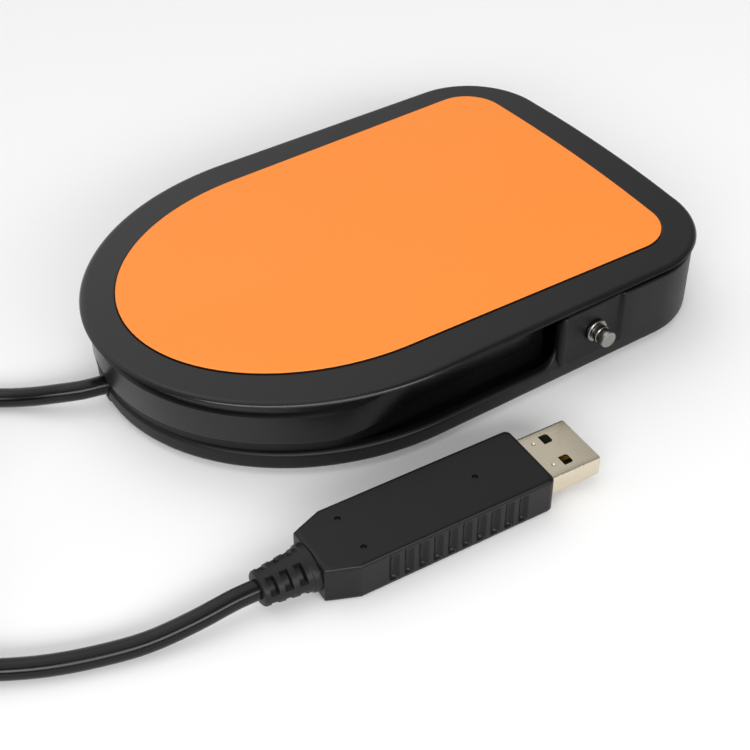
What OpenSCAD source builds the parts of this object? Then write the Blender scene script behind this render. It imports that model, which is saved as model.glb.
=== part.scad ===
// Foot pedal switch: a hinged cover over a shallow tray, a return spring, a snap switch and a USB lead.
// Millimetres. X runs from the toe end to the heel end, Z is up and the floor is at zero.

/* [Cover plate] */
// Length of the cover plate from toe to heel
plate_l = 124; // [116:1:136]
// Width of the cover plate
plate_w = 83; // [79:1:92]
// Length of the rounded toe end
toe_l = 50; // [46:1:56]
// Radius of the two heel corners
heel_corner_r = 18.5; // [16:0.5:22]
// How far the heel edge bows out in the middle
heel_bow = 0.9; // [0.3:0.1:1.6]
// Thickness of the cover plate
plate_t = 3; // [2.6:0.1:3.6]
// Rounding of the plate's upper edge
upper_round = 1.6; // [0.8:0.1:1.6]
// Rounding of the plate's lower edge
lower_round = 0.8; // [0.4:0.1:0.9]
// Thickness of the skirt under the plate
skirt_t = 1.2; // [1:0.1:1.4]
// How far the skirt's face stands in from the tray's wall
skirt_set = 0.2; // [0.1:0.1:0.4]
// How much shorter the skirt is at the toe than the plate
skirt_toe_in = 0.8; // [0.5:0.1:1.4]
// How much further in the skirt stands along the sides than at the toe
side_recess = 5; // [4:0.1:5.4]
// Angle from the toe's tip where the skirt begins to turn in
recess_from = 62; // [58:1:66]

/* [Foot pad] */
// Black border of the plate that shows beside the pad at the toe end's sides
pad_side_margin = 8.35; // [7:0.05:9.5]
// Black border that shows at the tip of the toe
pad_toe_margin = 7.1; // [6:0.1:9]
// Black border that shows at the heel
pad_heel_margin = 8.2; // [7:0.1:10]
// How much wider the pad is towards the heel, on each side
pad_flare = 1.45; // [0:0.05:1.5]
// How far the pad lies to one side of the middle line
pad_shift = 0.65; // [-0.7:0.05:0.7]
// Radius of the pad's heel corners
pad_corner_r = 9; // [7:0.5:12]
// Thickness of the pad sheet
pad_t = 0.6; // [0.5:0.05:0.8]
// Depth of the recess that the pad lies in
pad_recess = 0.4; // [0.2:0.05:0.45]
// Gap round the edge of the pad
pad_gap = 0.2; // [0.1:0.05:0.4]

/* [Base tray] */
// Height from the tray's underside to the plate's underside
side_h = 14.5; // [14.2:0.1:16]
// Height of the low rim round the toe and the sides
rim_h = 3; // [2.8:0.1:3.3]
// Thickness of the tray's floor
floor_t = 1.6; // [1.4:0.1:1.8]
// Thickness of the tray's wall
wall_t = 1.8; // [1.6:0.1:2.2]
// How far the tray's wall stands in from the plate's edge
base_inset = 0.4; // [0.2:0.1:0.8]
// How much shorter the tray is at the toe
base_toe_in = 1.5; // [0.5:0.1:2]
// How much shorter the tray is at the heel
base_heel_in = 0.2; // [0.1:0.1:0.8]
// Rounding of the tray's lower edge
base_round = 1.5; // [0.8:0.1:1.5]
// Gap between the skirt and the tray's inner wall behind it
lap_gap = 0.35; // [0.3:0.05:0.5]
// Thickness of the inner wall
lap_t = 1.6; // [1.4:0.1:1.8]
// How far the inner wall reaches up behind the skirt at rest
lap_up = 2; // [1.8:0.1:2.4]
// Gap between the raised heel wall and the plate above it
heel_gap = 0.3; // [0.2:0.05:0.5]
// Length of the raised heel wall in front of the hinge pin
heel_wall_lead = 9.5; // [9:0.5:11]
// Fillet between the low rim and the raised heel wall
wall_fillet = 4; // [2:0.5:4.5]

/* [Rubber feet] */
// Diameter of a foot
foot_d = 11; // [8:0.5:13]
// Height of a foot below the tray
foot_h = 1; // [0.8:0.1:1.5]
// Depth of the recess that holds a foot
foot_seat = 0.6; // [0.3:0.1:0.8]
// Distance of the toe feet from the toe end
foot_toe_in = 24; // [22:1:28]
// Distance of the heel feet from the heel end
foot_heel_in = 14; // [12:1:17]
// Distance of the toe feet from the middle line
foot_toe_y = 20; // [14:1:22]
// Distance of the heel feet from the middle line
foot_heel_y = 26; // [20:1:28]

/* [Hinge] */
// Diameter of the hinge pin
pin_d = 3.6; // [3:0.1:4]
// Distance of the hinge pin from the heel end
pin_heel_in = 36; // [34:0.5:40]
// Height of the hinge pin above the tray's underside
pin_up = 8.5; // [8:0.1:9]
// Length of pin that stands out of each pocket
pin_out = 4.4; // [3:0.1:6]
// Length of the pocket round each pin end
pocket_l = 15.4; // [12:0.2:16]
// Depth of the pocket
pocket_depth = 1; // [0.6:0.1:1.2]
// Thickness of each hinge ear under the plate
ear_t = 4; // [3:0.5:5]
// Radius of each hinge ear
ear_r = 4.6; // [4:0.1:4.8]
// Gap between an ear and the boss beside it
ear_gap = 0.5; // [0.3:0.1:0.8]
// Thickness of the pin boss inside the tray's wall
boss_t = 3.9; // [3:0.1:5]
// Radius of a retaining clip
clip_r = 2.4; // [2.3:0.1:3]
// Thickness of a retaining clip
clip_t = 0.7; // [0.5:0.05:0.9]
// Angle that the cover turns when it is pressed
press_angle = 1.4; // [1.2:0.05:1.4]

/* [Return spring] */
// Outer diameter of the spring
spring_d = 9; // [8:0.5:11]
// Diameter of the spring wire
spring_wire = 1; // [0.8:0.1:1.2]
// Number of turns
spring_turns = 6; // [4:1:7]
// Distance of the spring from the hinge pin
spring_arm = 51; // [49:1:54]
// Height of the two spigots that hold the spring
spigot_h = 3; // [2:0.5:4]

/* [Stops] */
// Distance of the rubber stops from the toe end
stop_toe_in = 20; // [19:0.5:24]
// Distance of the rubber stops from the middle line
stop_y = 18; // [17.5:0.5:20]
// Diameter of a rubber stop
bumper_d = 8; // [6:0.5:9]
// Height of a rubber stop
bumper_h = 3; // [2:0.2:4]
// Diameter of the cover's posts above the stops
stop_post_d = 6; // [4:0.5:7]

/* [Snap switch] */
// Length of the switch body
switch_l = 12.8; // [12:0.2:14]
// Width of the switch body
switch_w = 5.8; // [5.4:0.1:6.5]
// Height of the switch body
switch_h = 6.5; // [6:0.1:6.6]
// Distance of the switch from the hinge pin
switch_arm = 26; // [24:0.5:28]
// Length of plunger that stands out at rest
plunger_out = 1; // [0.95:0.05:1.1]
// Length of the plunger's top
plunger_l = 2.9; // [2:0.1:3.4]
// Width of the plunger's top
plunger_w = 1.2; // [1:0.1:1.6]
// Distance between two terminals
terminal_pitch = 5.08; // [5:0.02:5.2]

/* [Circuit board] */
// Length of the board
board_l = 30; // [28:1:32]
// Width of the board
board_w = 18; // [17:1:22]
// Thickness of the board
board_t = 1.6; // [1.2:0.1:1.8]
// Height of the posts under the board
post_h = 2; // [1.9:0.1:2.2]
// Diameter of a post
post_d = 4.6; // [4.2:0.2:5.2]
// Distance of a board screw from the board's edges
screw_in = 2.6; // [2.3:0.1:3]

/* [Screws] */
// Diameter of a screw's thread
screw_d = 1.9; // [1.6:0.1:2.2]
// Diameter of a screw's head
screw_head_d = 3.8; // [3.4:0.1:4]
// Height of a screw's head
screw_head_h = 1.4; // [1:0.1:1.6]

/* [Lead] */
// Diameter of the lead
lead_d = 3.8; // [3.4:0.1:3.9]
// Height of the lead above the tray's underside where it leaves
lead_up = 3.6; // [3.6:0.1:4]
// Distance of the lead from the middle line where it leaves
lead_y = 5; // [4:0.5:6]
// Turn of the lead where it leaves square to the toe wall
lead_turn = 13; // [11:0.5:15]
// Length of lead inside the tray
tail_l = 17; // [16:0.5:19]
// Diameter of the bush that the lead leaves through
bush_d = 5.2; // [4.8:0.1:5.2]
// Length of the lead clamp along the lead
clamp_l = 6; // [5:0.5:7]
// Diameter of an insulated wire
wire_d = 1.1; // [0.9:0.1:1.3]

/* [USB plug] */
// Distance of the plug's front face behind the middle of the pedal
plug_back = 5.5; // [4:0.1:8]
// Distance of the plug's middle line beside the pedal's
plug_side = 59.6; // [58:0.1:64]
// Turn of the plug, seen from above
plug_turn = -3.2; // [-4:0.2:2]
// Length of the plug's housing
housing_l = 46.5; // [45:0.5:50]
// Width of the plug's housing
housing_w = 15.4; // [14.6:0.1:17]
// Height of the plug's housing
housing_h = 8; // [7.8:0.1:9]
// Length of the housing's tapered back
taper_l = 6; // [4:0.5:7]
// Width of the housing at its back face
back_w = 10.8; // [9:0.1:11]
// Rounding of the housing's edges
housing_round = 0.8; // [0.4:0.1:1]
// Number of finger grooves on each side
groove_count = 10; // [6:1:10]
// Distance between two finger grooves
groove_pitch = 3; // [2.4:0.1:3]
// Distance of the first finger groove from the front face
groove_start = 7; // [6:0.5:9]
// Length of the strain relief
boot_l = 10; // [9:0.5:12]
// Diameter of the strain relief at the housing
boot_d = 7.8; // [7:0.1:7.8]
// Diameter of the strain relief at the lead
boot_end_d = 6.2; // [5.6:0.1:6.6]
// Width of the metal shell
shell_w = 12; // [11.9:0.05:12.1]
// Height of the metal shell
shell_h = 4.5; // [4.4:0.05:4.6]
// Thickness of the shell's metal
shell_t = 0.3; // [0.25:0.05:0.35]
// Length of shell in front of the housing
shell_out = 11.4; // [10.5:0.1:12]
// Length of shell inside the housing
shell_in = 7.4; // [6:0.2:8]
// Thickness of the plug's circuit board
plug_board_t = 1; // [0.8:0.1:1.2]

/* [Fits] */
// Radial clearance where the cover turns on the pin
run_clear = 0.05; // [0.03:0.01:0.08]
// Clearance where a piece is held still in its seat
seat_clear = 0.02; // [0.01:0.01:0.04]
// Clearance where a piece drops in or slides
slide_clear = 0.1; // [0.06:0.02:0.14]
// Least gap that is left where the cover comes near the tray
stop_gap = 0.25; // [0.2:0.05:0.35]

/* [Hidden] */

black_plastic = "#1e1e1f";
pad_orange = "#ff9443";
rubber_black = "#141414";
steel = "#b9b7b0";
board_green = "#1d5a36";
brass = "#c9a24b";
lead_black = "#111112";

// Heights of the main levels
base_z = foot_h;
floor_z = base_z + floor_t;
rim_z = base_z + rim_h;
plate_z = base_z + side_h;
plate_top = plate_z + plate_t;
heel_top = plate_z - heel_gap;
pin_z = base_z + pin_up;
lead_z = base_z + lead_up;
join = 0.4;

// Places along and across the pedal
half_w = plate_w / 2;
toe_x = -plate_l / 2;
heel_x = plate_l / 2;
toe_mid_x = toe_x + toe_l;
corner_x = heel_x - heel_bow - heel_corner_r;
corner_y = half_w - heel_corner_r;
wall_in = base_inset + wall_t;
skirt_in = base_inset + skirt_set;
lap_in = skirt_in + skirt_t + lap_gap;
lap_back = lap_in + lap_t;
pin_x = heel_x - pin_heel_in;
pin_r = pin_d / 2;
heel_wall_x = pin_x - heel_wall_lead;
pocket_y = half_w - base_inset - pocket_depth;
boss_y = half_w - wall_in - boss_t;
ear_y = boss_y - ear_gap - ear_t / 2;
pin_half = pocket_y + pin_out;
boss_half = ear_r + 1.4;
toe_drop = (pin_x - toe_x) * sin(press_angle) + stop_gap;
skirt_end_x = heel_wall_x - 0.4;
lap_end_x = skirt_end_x + 1;
skirt_z = rim_z + toe_drop;
lap_z = skirt_z + lap_up;
pocket_low_z = pin_z - clip_r - 2 * slide_clear;
pocket_end_z = rim_z + 0.6;
pad_corner_x = heel_x - pad_heel_margin - heel_bow - pad_corner_r;
pad_half_w = half_w - pad_side_margin;
pad_corner_y = pad_half_w + pad_flare - pad_corner_r;

// Spring, switch, stops and board
spring_x = pin_x - spring_arm;
spring_r = (spring_d - spring_wire) / 2;
spigot_r = spring_d / 2 - spring_wire - 2 * slide_clear;
switch_x = pin_x - switch_arm;
board_z = floor_z + post_h;
board_top = board_z + board_t;
switch_top = board_top + switch_h;
plunger_top = switch_top + plunger_out;
plunger_deep = 2.6;
press_gap = 0.15;
board_mid_x = switch_x - 3;
post_x = board_l / 2 - screw_in;
post_y = board_w / 2 - screw_in;
stop_x = toe_x + stop_toe_in;
stop_arm = pin_x - stop_x;
bumper_top = floor_z + bumper_h;
press_rib_t = 2;
press_rib_l = 8;
stop_post_z = bumper_top + stop_arm * sin(press_angle) + stop_gap;
feet = [for (s = [-1, 1]) each
    [[toe_x + foot_toe_in, s * foot_toe_y], [heel_x - foot_heel_in, s * foot_heel_y]]];

// Lead inside the tray, in its own frame: X points inward and zero is just outside the skirt
lead_r = lead_d / 2;
bush_proud = 0.3;
toe_wall_a = toe_l - skirt_in - skirt_toe_in;
toe_wall_b = half_w - skirt_in;
lead_x = toe_mid_x - toe_wall_a * sqrt(1 - pow(lead_y / toe_wall_b, 2)) - bush_proud;
lead_face = [lead_x, lead_y, lead_z];
lead_out = [-cos(lead_turn), sin(lead_turn), 0];
tail_end = lead_face - tail_l * lead_out;
bush_l = lap_t + 0.6;
bush_x = bush_proud + skirt_t + 1.5 * lap_gap;
notch_w = lead_d + 2 * lap_gap;
notch_top = lead_z + lead_r + toe_drop;
clamp_x = tail_l - clamp_l - 2;
saddle_z = lead_z - lead_r - slide_clear / 2;
clamp_foot_h = 2.4;
wire_pitch = 1.6;
wire_straight = 2.5;
wire_land_in = 3;
wire_arch = 3;
wire_drop = 1.6;
clamp_wall = 1.4;
clamp_edge = 0.2;
clamp_screw_y = lead_r + clamp_wall + screw_head_d / 2 + clamp_edge;
clamp_w = 2 * clamp_screw_y + screw_head_d + 2 * clamp_edge;
clamp_hole_z = floor_z - floor_t * 0.7;

// Plug, in its own frame: X points out of the plug and zero is its front face
housing_mid_z = housing_h / 2;
shell_front = shell_out;
shell_back = -shell_in;
cavity_l = 30;
cavity_w = 11.4;
cavity_h = 5.2;
cavity_front = shell_back - 0.4;
cavity_back = cavity_front - cavity_l;
shell_low = housing_mid_z - shell_h / 2;
tongue_t = 1.9;
tongue_low = shell_low + shell_t + seat_clear;
tongue_top = tongue_low + tongue_t;
tongue_w = shell_w - 2 * shell_t - 2 * seat_clear;
contact_t = 0.25;
contact_pitch = 2.2;
plug_board_l = 25;
plug_board_w = cavity_w - 4 * slide_clear;
plug_board_front = cavity_front - 0.5;
plug_board_top = housing_mid_z + plug_board_t / 2;
boot_back = -housing_l - boot_l;
cable_end_front = plug_board_front - plug_board_l + 0.6;
plug_wire_d = 0.7;
chip_l = 7;
chip_w = 5;
chip_t = 1.2;

// Coil of the spare lead
coil_mid = [-134, 2];
coil_pitch = 4.3;
coil_turns_per_layer = 3;
coil_steps = 24;
coil_end_step = 273;
coil_outer_r = 29.2;
coil_start_angle = 90;
tie_t = 0.8;
tie_w = 6;
tie_angle = 330;
tie_gap = 0.3;
coil_low_z = lead_r + tie_t + slide_clear;
coil_layers = 4;
coil_top_z = coil_low_z + (coil_layers - 1) * coil_pitch;

// Free lead from the bush to the coil and from the strain relief to the coil, between its end points
route_at_pedal = [[-68.2, 8.3, 3.9], [-71.8, 11, 3], [-75.4, 14, 2.2], [-79.4, 17, 1.95], [-86, 21.2, 1.95],
    [-94, 25.2, 1.95], [-102.8, 28.4, 1.95], [-111.5, 30.5, 2.2], [-119.5, 31.2, 2.6]];
route_at_plug = [[-73.8, -55.9, 3.2], [-82, -54.7, 2.2], [-90, -52.5, 1.95], [-97.5, -49.7, 1.95],
    [-104.5, -46.2, 2.2], [-112, -42.3, 3.4], [-119.5, -38.4, 5.8], [-127, -34.5, 9], [-134.5, -30.6, 12.4],
    [-141.5, -26.5, 14.8]];

$fn = 48;

// Points of an arc with its own radius along each axis
function arc(mid, rx, ry, from, to, steps) =
    [for (k = [0:steps]) let (a = from + (to - from) * k / steps) [mid[0] + rx * cos(a), mid[1] + ry * sin(a)]];

// Outline of the pedal, drawn in by a distance all round and by more at the toe and the heel
function pedal_outline(inset, toe_in = 0, heel_in = 0) =
    let (r = heel_corner_r - inset, x = corner_x - heel_in)
    concat(
        arc([toe_mid_x, 0], toe_l - inset - toe_in, half_w - inset, 90, 270, 40),
        arc([x, -corner_y], r, r, 270, 360, 9),
        [for (k = [1:7]) let (y = corner_y * (k - 4) / 4) [x + r + heel_bow * (1 - pow(y / corner_y, 2)), y]],
        arc([x, corner_y], r, r, 0, 90, 9));

// Share of the sides' recess at an angle from the toe's tip
function recess_share(angle) =
    let (t = min(1, max(0, (angle - recess_from) / (90 - recess_from))))
    t * t * (3 - 2 * t);

// Outline of the skirt, drawn in by a distance: flush at the toe and set back along the sides
function skirt_outline(inset) =
    let (side = half_w - inset - side_recess)
    concat(
        [for (k = [0:48])
            let (a = 90 + 180 * k / 48, deep = inset + side_recess * recess_share(abs(a - 180)))
            [toe_mid_x + (toe_l - deep - skirt_toe_in) * cos(a), (half_w - deep) * sin(a)]],
        [[heel_x, -side], [heel_x, side]]);

// Outline of the pad, drawn in by a distance
function pad_outline(inset) =
    let (r = pad_corner_r - inset)
    concat(
        arc([toe_mid_x, pad_shift], toe_l - pad_toe_margin - inset, pad_half_w - inset, 90, 270, 40),
        arc([pad_corner_x, pad_shift - pad_corner_y], r, r, 270, 360, 9),
        [for (k = [1:7]) let (y = pad_corner_y * (k - 4) / 4)
            [pad_corner_x + r + heel_bow * (1 - pow(y / pad_corner_y, 2)), pad_shift + y]],
        arc([pad_corner_x, pad_shift + pad_corner_y], r, r, 0, 90, 9));

// Outline of the tray, which is shorter than the plate
function tray_outline(inset) = pedal_outline(inset, base_toe_in, base_heel_in);

// Outline of the plug's housing, drawn in by a distance
function housing_outline(inset) =
    let (w = housing_w / 2 - inset, b = back_w / 2 - inset, r = 1.2)
    concat(
        arc([-inset - r, w - r], r, r, 0, 90, 4),
        [[-housing_l + taper_l, w], [-housing_l + inset, b]],
        [[-housing_l + inset, -b], [-housing_l + taper_l, -w]],
        arc([-inset - r, -w + r], r, r, 270, 360, 4));

function level(points, z) = [for (p = points) [p[0], p[1], z]];

// Inset and height of each ring of a quarter-round edge
function round_edge(r, z, up, steps) =
    [for (k = [0:steps]) let (a = 90 * k / steps)
        up ? [r - r * cos(a), z - r + r * sin(a)] : [r - r * sin(a), z + r - r * cos(a)]];

// Solid through a list of rings with the same number of points
module loft(rings) {
    n = len(rings[0]);
    last = len(rings) - 1;
    sides = [for (i = [0:last - 1], k = [0:n - 1]) let (m = (k + 1) % n) each
        [[i * n + k, (i + 1) * n + k, (i + 1) * n + m], [i * n + k, (i + 1) * n + m, i * n + m]]];
    low = [for (k = [1:n - 2]) [0, k, k + 1]];
    high = [for (k = [1:n - 2]) [last * n, last * n + k + 1, last * n + k]];
    polyhedron(points = [for (r = rings) each r], faces = concat(low, sides, high));
}

function unit(v) = v / norm(v);

// Direction of a path at one of its points
function heading(path, k) = unit(path[min(k + 1, len(path) - 1)] - path[max(k - 1, 0)]);

// Round tube along a path
module tube(path, r, sides) {
    rings = [for (k = [0:len(path) - 1])
        let (t = heading(path, k), n = unit(cross(t, [0, 0, 1])), b = cross(n, t))
        [for (j = [0:sides - 1]) path[k] + r * cos(360 * j / sides) * n - r * sin(360 * j / sides) * b]];
    loft(rings);
}

// Box with its middle at X and Y of zero and its underside at zero
module block(size) {
    translate([-size[0] / 2, -size[1] / 2, 0])
        cube(size);
}

// Rod along X or across Y
module rod_x(from, to, r) {
    translate([from, 0, 0])
        rotate([0, 90, 0])
            cylinder(h = to - from, r = r);
}

module rod_y(half, r) {
    rotate([90, 0, 0])
        cylinder(h = 2 * half, r = r, center = true);
}

// Pan-head screw, with the underside of its head at zero
module screw(length) {
    cylinder(h = screw_head_h, d = screw_head_d);
    translate([0, 0, -length])
        cylinder(h = length, d = screw_d);
}

module at_board_posts() {
    for (sx = [-1, 1])
        translate([board_mid_x + sx * post_x, sx * post_y, 0])
            children();
}

// Frame of the lead at floor level, with X pointing inward
module at_lead() {
    translate([lead_face[0], lead_face[1], 0])
        rotate([0, 0, -lead_turn])
            children();
}

module at_clamp_screws() {
    at_lead()
        for (s = [-1, 1])
            translate([clamp_x + clamp_l / 2, s * clamp_screw_y, 0])
                children();
}

module at_stops() {
    for (s = [-1, 1])
        translate([stop_x, s * stop_y, 0])
            children();
}

module at_feet() {
    for (p = feet)
        translate([p[0], p[1], 0])
            children();
}

module at_plug() {
    translate([-plug_back, -plug_side, 0])
        rotate([0, 0, plug_turn])
            children();
}

// Cover

module cover_plate() {
    low = round_edge(lower_round, plate_z, false, 3);
    high = round_edge(upper_round, plate_top, true, 4);
    loft([for (e = concat(low, high)) level(pedal_outline(e[0]), e[1])]);
}

module skirt() {
    difference() {
        translate([0, 0, skirt_z])
            linear_extrude(plate_z + join - skirt_z)
                difference() {
                    polygon(skirt_outline(skirt_in));
                    polygon(skirt_outline(skirt_in + skirt_t));
                }
        translate([skirt_end_x, -plate_w, 0])
            cube([plate_l, 2 * plate_w, plate_top]);
        at_lead()
            translate([tail_l / 2 - 2, 0, 0])
                block([tail_l, notch_w, notch_top]);
    }
}

module hinge_ears() {
    shape = concat(
        arc([pin_x, pin_z], ear_r, ear_r, 180, 360, 16),
        [[pin_x + ear_r, plate_z + join], [pin_x - ear_r, plate_z + join]]);
    for (s = [-1, 1])
        translate([0, s * ear_y, 0])
            rotate([90, 0, 0])
                linear_extrude(ear_t, center = true)
                    polygon(shape);
}

module cover_posts() {
    translate([switch_x, 0, plunger_top + press_gap])
        block([press_rib_t, press_rib_l, plate_z + join - plunger_top - press_gap]);
    translate([spring_x, 0, plate_z - spigot_h])
        cylinder(h = spigot_h + join, r = spigot_r);
    at_stops()
        translate([0, 0, stop_post_z])
            cylinder(h = plate_z + join - stop_post_z, d = stop_post_d);
}

module pedal_cover() {
    color(black_plastic)
        difference() {
            union() {
                cover_plate();
                skirt();
                hinge_ears();
                cover_posts();
            }
            translate([0, 0, plate_top - pad_recess])
                linear_extrude(plate_t)
                    polygon(pad_outline(-pad_gap));
            translate([pin_x, 0, pin_z])
                rod_y(boss_y, pin_r + run_clear);
        }
}

module foot_pad() {
    color(pad_orange)
        translate([0, 0, plate_top - pad_recess])
            linear_extrude(pad_t)
                polygon(pad_outline(0));
}

// Base

// Space above the low rim, with a fillet where the heel wall rises
module rim_cut() {
    fillet_mid = [heel_wall_x - wall_fillet, rim_z + wall_fillet];
    shape = concat(
        [[-plate_l, rim_z]],
        arc(fillet_mid, wall_fillet, wall_fillet, 270, 360, 8),
        [[heel_wall_x, plate_top], [-plate_l, plate_top]]);
    rotate([90, 0, 0])
        linear_extrude(2 * plate_w, center = true)
            polygon(shape);
}

module base_shell() {
    difference() {
        loft([for (e = concat(round_edge(base_round, base_z, false, 3), [[0, heel_top]]))
            level(tray_outline(base_inset + e[0]), e[1])]);
        translate([0, 0, floor_z])
            linear_extrude(plate_top)
                polygon(tray_outline(wall_in));
        rim_cut();
    }
}

// Inner wall that closes the gap behind the skirt
module inner_wall() {
    intersection() {
        translate([0, 0, floor_z - join])
            linear_extrude(lap_z - floor_z + join)
                difference() {
                    polygon(skirt_outline(lap_in));
                    polygon(skirt_outline(lap_back));
                }
        translate([toe_x, -plate_w, 0])
            cube([lap_end_x - toe_x, 2 * plate_w, plate_top]);
    }
}

module pin_bosses() {
    for (s = [-1, 1])
        translate([pin_x, s * (boss_y + (boss_t + join) / 2), floor_z - join])
            block([2 * boss_half, boss_t + join, pin_z + ear_r + join - floor_z]);
}

module tray_posts() {
    translate([spring_x, 0, floor_z - join])
        cylinder(h = spigot_h + join, r = spigot_r);
    at_board_posts()
        translate([0, 0, floor_z - join])
            cylinder(h = post_h + join, d = post_d);
    at_lead()
        translate([clamp_x + clamp_l / 2, 0, floor_z - join])
            block([clamp_l, clamp_w, saddle_z - floor_z + join]);
}

// Pockets with an upright face behind the pin and a slope below it
module pin_pockets() {
    out_y = half_w + 1;
    slope = (pocket_low_z - pocket_end_z) / pocket_depth;
    shape = [[pocket_y, pocket_low_z], [out_y, pocket_low_z - slope * (out_y - pocket_y)], [out_y, plate_top],
        [pocket_y, plate_top]];
    for (s = [0, 1])
        mirror([0, s, 0])
            translate([pin_x, 0, 0])
                rotate([90, 0, 90])
                    linear_extrude(pocket_l, center = true)
                        polygon(shape);
}

module base_tray() {
    color(black_plastic)
        difference() {
            union() {
                base_shell();
                inner_wall();
                pin_bosses();
                tray_posts();
            }
            pin_pockets();
            translate([pin_x, 0, pin_z])
                rod_y(plate_w, pin_r + seat_clear);
            at_lead()
                translate([0, 0, lead_z])
                    rod_x(-2, bush_x + bush_l + 1, bush_d / 2 + seat_clear);
            at_feet()
                cylinder(h = base_z + foot_seat, d = foot_d + 2 * slide_clear);
            at_board_posts()
                translate([0, 0, floor_z])
                    cylinder(h = plate_z, d = screw_d + 2 * seat_clear);
            at_clamp_screws()
                translate([0, 0, clamp_hole_z])
                    cylinder(h = plate_z, d = screw_d + 2 * seat_clear);
        }
}

module rubber_feet() {
    color(rubber_black)
        at_feet()
            cylinder(h = foot_h + foot_seat, d = foot_d);
}

module stop_bumpers() {
    color(rubber_black)
        at_stops()
            translate([0, 0, floor_z])
                cylinder(h = bumper_h, d = bumper_d);
}

// Hinge

module hinge_pin() {
    groove_from = pocket_y + slide_clear;
    groove_to = groove_from + clip_t + 2 * slide_clear;
    groove_r = pin_r - 0.4;
    chamfer = 0.4;
    half_shape = [[0, 0], [pin_r, 0], [pin_r, groove_from], [groove_r, groove_from], [groove_r, groove_to],
        [pin_r, groove_to], [pin_r, pin_half - chamfer], [pin_r - chamfer, pin_half], [0, pin_half]];
    color(steel)
        translate([pin_x, 0, pin_z])
            for (a = [-90, 90])
                rotate([a, 0, 0])
                    rotate_extrude()
                        polygon(half_shape);
}

module pin_clips() {
    clip_y = pocket_y + 2 * slide_clear;
    color(steel)
        for (s = [-1, 1])
            translate([pin_x, s * (clip_y + clip_t / 2), pin_z])
                difference() {
                    rod_y(clip_t / 2, clip_r);
                    rod_y(clip_t, pin_r - 0.4 + seat_clear);
                    translate([0, 0, -clip_r])
                        block([2 * pin_r - 1.2, 2 * clip_t, clip_r]);
                }
}

// Return spring: open turns between a flat turn at each end

module return_spring() {
    low = floor_z + spring_wire / 2 + slide_clear;
    rise = plate_z - floor_z - spring_wire - 2 * slide_clear;
    steps = 10;
    dead = 0.75;
    path = [for (k = [0:spring_turns * steps])
        let (t = k / steps, u = (t - dead) / (spring_turns - 2 * dead))
        [spring_r * cos(360 * t), spring_r * sin(360 * t), low + rise * max(0, min(1, u))]];
    color(steel)
        translate([spring_x, 0, 0])
            tube(path, spring_wire / 2, 6);
}

// Switch and board

module circuit_board() {
    color(board_green)
        difference() {
            translate([board_mid_x, 0, board_z])
                block([board_l, board_w, board_t]);
            at_board_posts()
                cylinder(h = plate_z, d = screw_d + 4 * slide_clear);
            for (k = [-1:1])
                translate([switch_x, k * terminal_pitch, 0])
                    block([0.9 + 2 * slide_clear, 0.7 + 2 * slide_clear, plate_z]);
        }
}

module board_screws() {
    color(steel)
        at_board_posts()
            translate([0, 0, board_top])
                screw(board_t + post_h - 2 * slide_clear);
}

module switch_body() {
    color("#26262a")
        difference() {
            translate([switch_x, 0, board_top])
                block([switch_w, switch_l, switch_h]);
            translate([switch_x, switch_l / 8, switch_top - plunger_deep - 1.2])
                block([plunger_w + 2 * slide_clear, plunger_l + 2 * slide_clear, switch_h]);
        }
}

module switch_plunger() {
    color("#c9c4b8")
        translate([switch_x, switch_l / 8, switch_top - plunger_deep])
            block([plunger_w, plunger_l, plunger_deep + plunger_out]);
}

module switch_terminals() {
    reach = post_h - 4 * slide_clear;
    color(brass)
        for (k = [-1:1])
            translate([switch_x, k * terminal_pitch, board_z - reach])
                block([0.9, 0.7, board_t + reach]);
}

// Lead inside the tray

module cable_bush() {
    color(rubber_black)
        at_lead()
            translate([bush_x, 0, lead_z])
                difference() {
                    rod_x(0, bush_l, bush_d / 2);
                    rod_x(-1, bush_l + 1, lead_r + seat_clear);
                }
}

module cable_tail() {
    color(lead_black)
        at_lead()
            translate([0, 0, lead_z])
                rod_x(0, tail_l, lead_r);
}

module cable_clamp() {
    color("#2b2b2e")
        difference() {
            at_lead()
                translate([clamp_x + clamp_l / 2, 0, saddle_z]) {
                    block([clamp_l, clamp_w, clamp_foot_h]);
                    block([clamp_l, lead_d + 2 * clamp_wall, lead_d + clamp_wall]);
                }
            at_lead()
                translate([0, 0, lead_z])
                    rod_x(clamp_x - 1, clamp_x + clamp_l + 1, lead_r + seat_clear);
            at_lead()
                translate([clamp_x + clamp_l / 2, 0, 0])
                    block([clamp_l + 2, lead_d + 2 * seat_clear, lead_z]);
            at_clamp_screws()
                cylinder(h = plate_z, d = screw_d + 2 * slide_clear);
        }
}

module clamp_screws() {
    color(steel)
        at_clamp_screws()
            translate([0, 0, saddle_z + clamp_foot_h])
                screw(saddle_z + clamp_foot_h - clamp_hole_z - slide_clear);
}

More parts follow.
